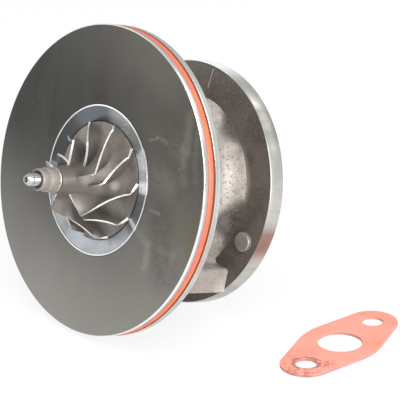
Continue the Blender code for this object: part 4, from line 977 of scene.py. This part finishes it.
def makeNut():
    size = named(nutSize)
    rear, front, step, wide, nose = size.rear, size.front, size.step, size.radius, size.nose
    outline = [(size.bore, front - 1.0), (size.mouth - 0.1, front - 0.35), (size.mouth, front - 0.05)]
    outline += arcPoints(nose - 0.5, front - 0.5, 0.48, 85, 5, 5)
    outline += [
        (nose, step + 0.35), (nose - 0.1, step + 0.15), (wide - 0.1, step), (wide, step - 0.12),
        (wide, rear + 0.75), (wide - 0.14, rear + 0.62), (wide - 0.14, rear + 0.5), (size.washer, rear + 0.38),
        (size.washer, rear), (size.bore, rear),
    ]
    bm = spun(outline, 96)
    softened(bm, 0.04, 1)
    painted(bm, 1, lambda reach, z, up: reach > wide + 0.02)
    painted(bm, 2, lambda reach, z, up: reach < nose - 0.3 and z > step)
    finishPiece(bm, "shaft_nut_fine", "rotor", "shaft_nut", "nutSteel chamferBright nutShade")


shaftSize = {
    "end": 31.5, "thread": 2.2, "nose": 1.4, "chamfer": 1.5, "stub": 2.4, "journal": 3.5, "hub": 6.9,
    "hubFront": -41.2, "weld": 5.6, "shoulder": -14.15, "rear": -51.8, "mark": 1.05, "pitch": 0.55, "depth": 0.10,
    "threadFoot": 19.6, "stubFront": 19.0, "weldFront": -49.6, "weldRear": -50.5,
}


def makeShaft():
    size = named(shaftSize)
    end, thread, mark = size.end, size.thread, size.mark
    outline = [
        (0.0, end - 1.4), (mark - 0.4, end - 1.2), (mark - 0.1, end - 0.6), (mark, end - 0.06),
        (mark + 0.08, end), (size.nose - 0.1, end), (size.nose, end - 0.1), (thread, end - size.chamfer),
    ]
    height = end - size.chamfer - 0.5
    while height > size.threadFoot:
        outline += [(thread, height), (thread - size.depth, height - size.pitch / 2)]
        height -= size.pitch
    outline += [
        (size.stub, size.stubFront), (size.stub, size.shoulder), (size.journal, size.shoulder),
        (size.journal, size.hubFront), (size.hub, size.hubFront - 0.9), (size.hub, size.weldFront),
        (size.weld, size.weldRear), (size.weld, size.rear), (0.0, size.rear),
    ]
    bm = spun(outline, 96, closed=False)
    painted(bm, 1, lambda reach, z, up: reach < mark - 0.25 and z > 0)
    looks = "shaftSteel springSteel"
    finishPiece(bm, "rotor_shaft_fine", "rotor", "rotor_shaft", looks, smooth=35)


# Dowel pin

dowelSize = {"x": 35.1, "y": -12.0, "radius": 3.5, "front": -39.9, "rear": -46.0, "edge": 0.45}


def makeDowel():
    size = named(dowelSize)
    outline = [(0, size.front), (size.radius, size.front), (size.radius, size.rear), (0, size.rear)]
    bm = spun(outline, 64, closed=False)
    softened(bm, size.edge, 3)
    place = toPart @ Matrix.Translation(Vector((size.x, size.y, 0)) * mm)
    finishPiece(bm, "dowel_pin_fine", "housing", "dowel_pin", "pinSteel", place)


# Turbine wheel and heat shield

turbineSize = {
    "front": -52.7, "disc": 1.0, "long": 15.2, "radius": 18.35, "discRadius": 15.0, "exit": 15.75, "inletWide": 5.8,
    "noseRadius": 4.1, "hexRadius": 3.6, "hexLong": 2.2, "blades": 11, "twist": 52.0,
    "grid": (26, 8), "thick": (1.3, 0.6),
}


def turbineHub(share):
    size = named(turbineSize)
    turn = share * math.pi / 2
    front, rear = size.front - size.disc, size.front - size.long
    radius = size.noseRadius + (size.discRadius - size.noseRadius) * (1 - math.sin(turn)) ** 1.2
    return radius, rear + (front - rear) * (1 - (1 - math.cos(turn)) ** 1.1)


def turbineBladePoint(along, across):
    size = named(turbineSize)
    level = across * 1.06 - 0.06
    hubRadius, hubHeight = turbineHub(along)
    turn = along * math.pi / 2
    rear = size.front - size.long
    inlet = size.front - size.disc - size.inletWide
    tipRadius = size.exit + (size.radius - size.exit) * (1 - math.sin(turn)) ** 1.5
    tipHeight = inlet + (rear - inlet) * along
    radius = hubRadius + (tipRadius - hubRadius) * level
    height = hubHeight + (tipHeight - hubHeight) * level
    return radius, height, math.radians(size.twist) * max(0.0, along - 0.25) ** 1.5


def makeTurbineWheel():
    size = named(turbineSize)
    front, rear = size.front, size.front - size.long
    hub = [(0.0, front), (size.discRadius, front), *(turbineHub(step / 20) for step in range(21)), (0.0, rear)]
    bm = spun(hub, 132, closed=False)
    softened(bm, 0.15, 2, 50)
    for number in range(size.blades):
        addBlade(bm, turbineBladePoint, size.grid, size.thick, 2 * math.pi * number / size.blades)
    nut = prismAt(bm, size.hexRadius, size.hexLong * 1.5, 6)
    bmesh.ops.translate(bm, vec=(0, 0, (rear - size.hexLong * 0.25) * mm), verts=nut)
    looks = "turbineCast turbineEdge"
    finishPiece(bm, "turbine_wheel_fine", "rotor", "turbine_wheel", looks)


shieldSize = {"front": -46.5, "wall": 0.8, "flange": 23.5, "cup": 19.2, "lip": 17.8, "deep": 5.4, "hole": 9.4}


def makeShield():
    size = named(shieldSize)
    front, wall = size.front, size.wall
    top, floor = front - wall, front - size.deep
    bm = spun([
        (size.cup - wall, front), (size.flange, front), (size.flange, top), (size.cup + 0.3, top),
        (size.cup, top - 0.4), (size.lip, floor + 0.5), (size.lip - 0.6, floor), (size.hole, floor),
        (size.hole, floor + wall), (size.lip - wall, floor + wall),
    ], 144)
    softened(bm, 0.12, 2, 20)
    finishPiece(bm, "heat_shield_fine", "housing", "heat_shield", "shieldSteel")


# Drain gasket

gasketSize = {
    "reach": 21.0, "end": 9.0, "waist": 13.7, "sweep": 27.0, "port": 7.8, "bolt": 3.75, "thick": 1.0, "round": 0.15,
    "turn": 12.45,
}
gasketPlace = Vector(((gasketLow.x + gasketHigh.x) / 2, (gasketLow.y + gasketHigh.y) / 2, 0))
gasketTurn = math.pi / 2 + math.radians(gasketSize["turn"])


def makeGasket():
    size = named(gasketSize)
    reach, sweep, ends, edge = size.reach, size.sweep, size.end, size.round
    drop = sweep - size.waist
    lean = math.atan2(drop, reach) + math.acos((sweep - ends) / math.hypot(reach, drop))
    outline = bpy.data.curves.new("gasketOutline", "CURVE")
    outline.dimensions = "2D"
    outline.fill_mode = "BOTH"
    outline.extrude = (size.thick / 2 - edge) * mm
    outline.bevel_depth = edge * mm
    outline.bevel_resolution = 1
    outline.offset = -edge * mm
    edgeLoop = []
    for centre, radius, first, last in (
        ((reach, 0), ends, -lean, lean), ((0, -drop), sweep, lean, math.pi - lean),
        ((-reach, 0), ends, math.pi - lean, math.pi + lean), ((0, drop), sweep, math.pi + lean, 2 * math.pi - lean),
    ):
        turns = [first + (last - first) * k / 32 for k in range(33)]
        edgeLoop += [(centre[0] + radius * math.cos(a), centre[1] + radius * math.sin(a)) for a in turns]
    loops = [edgeLoop]
    for centre, radius, steps in ((0, size.port, 96), (reach, size.bolt, 64), (-reach, size.bolt, 64)):
        turns = [2 * math.pi * k / steps for k in range(steps)]
        loops.append([(centre + radius * math.cos(a), radius * math.sin(a)) for a in turns])
    for points in loops:
        line = outline.splines.new("POLY")
        line.points.add(len(points) - 1)
        for spot, (x, y) in zip(line.points, points):
            spot.co = (x * mm, y * mm, 0, 1)
        line.use_cyclic_u = True
    sheet = bpy.data.objects.new("gasketOutline", outline)
    bpy.context.scene.collection.objects.link(sheet)
    bm = bmesh.new()
    bm.from_mesh(taken(sheet, [sheet]))
    bmesh.ops.remove_doubles(bm, verts=bm.verts, dist=0.000005)
    bmesh.ops.recalc_face_normals(bm, faces=bm.faces)
    painted(bm, 1, lambda reach, z, up: abs(up) < 0.9)
    lift = gasketPlace + Vector((0, 0, size.thick / 2 * mm))
    place = Matrix.Translation(lift) @ Matrix.Rotation(gasketTurn, 4, "Z")
    looks = "gasketFace gasketEdge"
    finishPiece(bm, "drain_gasket_fine", "gasket", "drain_gasket", looks, place, 20)


# Everything in order

makeCamera()
makeStudio()
print("camera and studio made")

for finishKind, make in (
    (latheFinishes, makeLatheFinish), (castSkins, makeCastFinish), (wheelSkins, makeWheelFinish),
    (rubbers, makeRubber),
):
    finishes.update({name: make(name) for name in finishKind})
finishes["discFace"] = makeDiscFinish()
finishes["flangeRim"] = makeRimFinish()
for name, side in (("gasketFace", "face"), ("gasketEdge", "edge")):
    finishes[name] = makeGasketFinish(name, gasketLook[side])
print("finishes made")

makeDisc()
makeDiscRing()
makeSealPlate()
makeFlange()
looks = "neckSkin rimSilver"
cutBores(finishPiece(makeNeck(), "cast_neck", "housing", "bearing_housing", looks, smooth=50))
print("housing made")

makeCompressorWheel()
makeNut()
makeShaft()
makeDowel()
makeTurbineWheel()
makeShield()
makeGasket()
print("rotor, shield and gasket made")

innerFinishes = {
    "bearingBronze": ("journal_bearing_front", "journal_bearing_rear", "thrust_bearing"),
    "springSteel": (
        "bearing_circlip_front", "bearing_circlip_middle", "bearing_circlip_rear", "compressor_piston_ring",
        "turbine_piston_ring", "oil_baffle",
    ),
    "shaftSteel": ("thrust_collar", "seal_bush", "thrust_pin_1", "thrust_pin_2"),
    "blackRubber": ("seal_plate_o_ring",),
}
for finishName, nodeNames in innerFinishes.items():
    for nodeName in nodeNames:
        for materialSlot in frame["nodes"][nodeName].material_slots:
            materialSlot.material = finishes[finishName]
print("inner pieces finished")

bpy.context.view_layer.update()
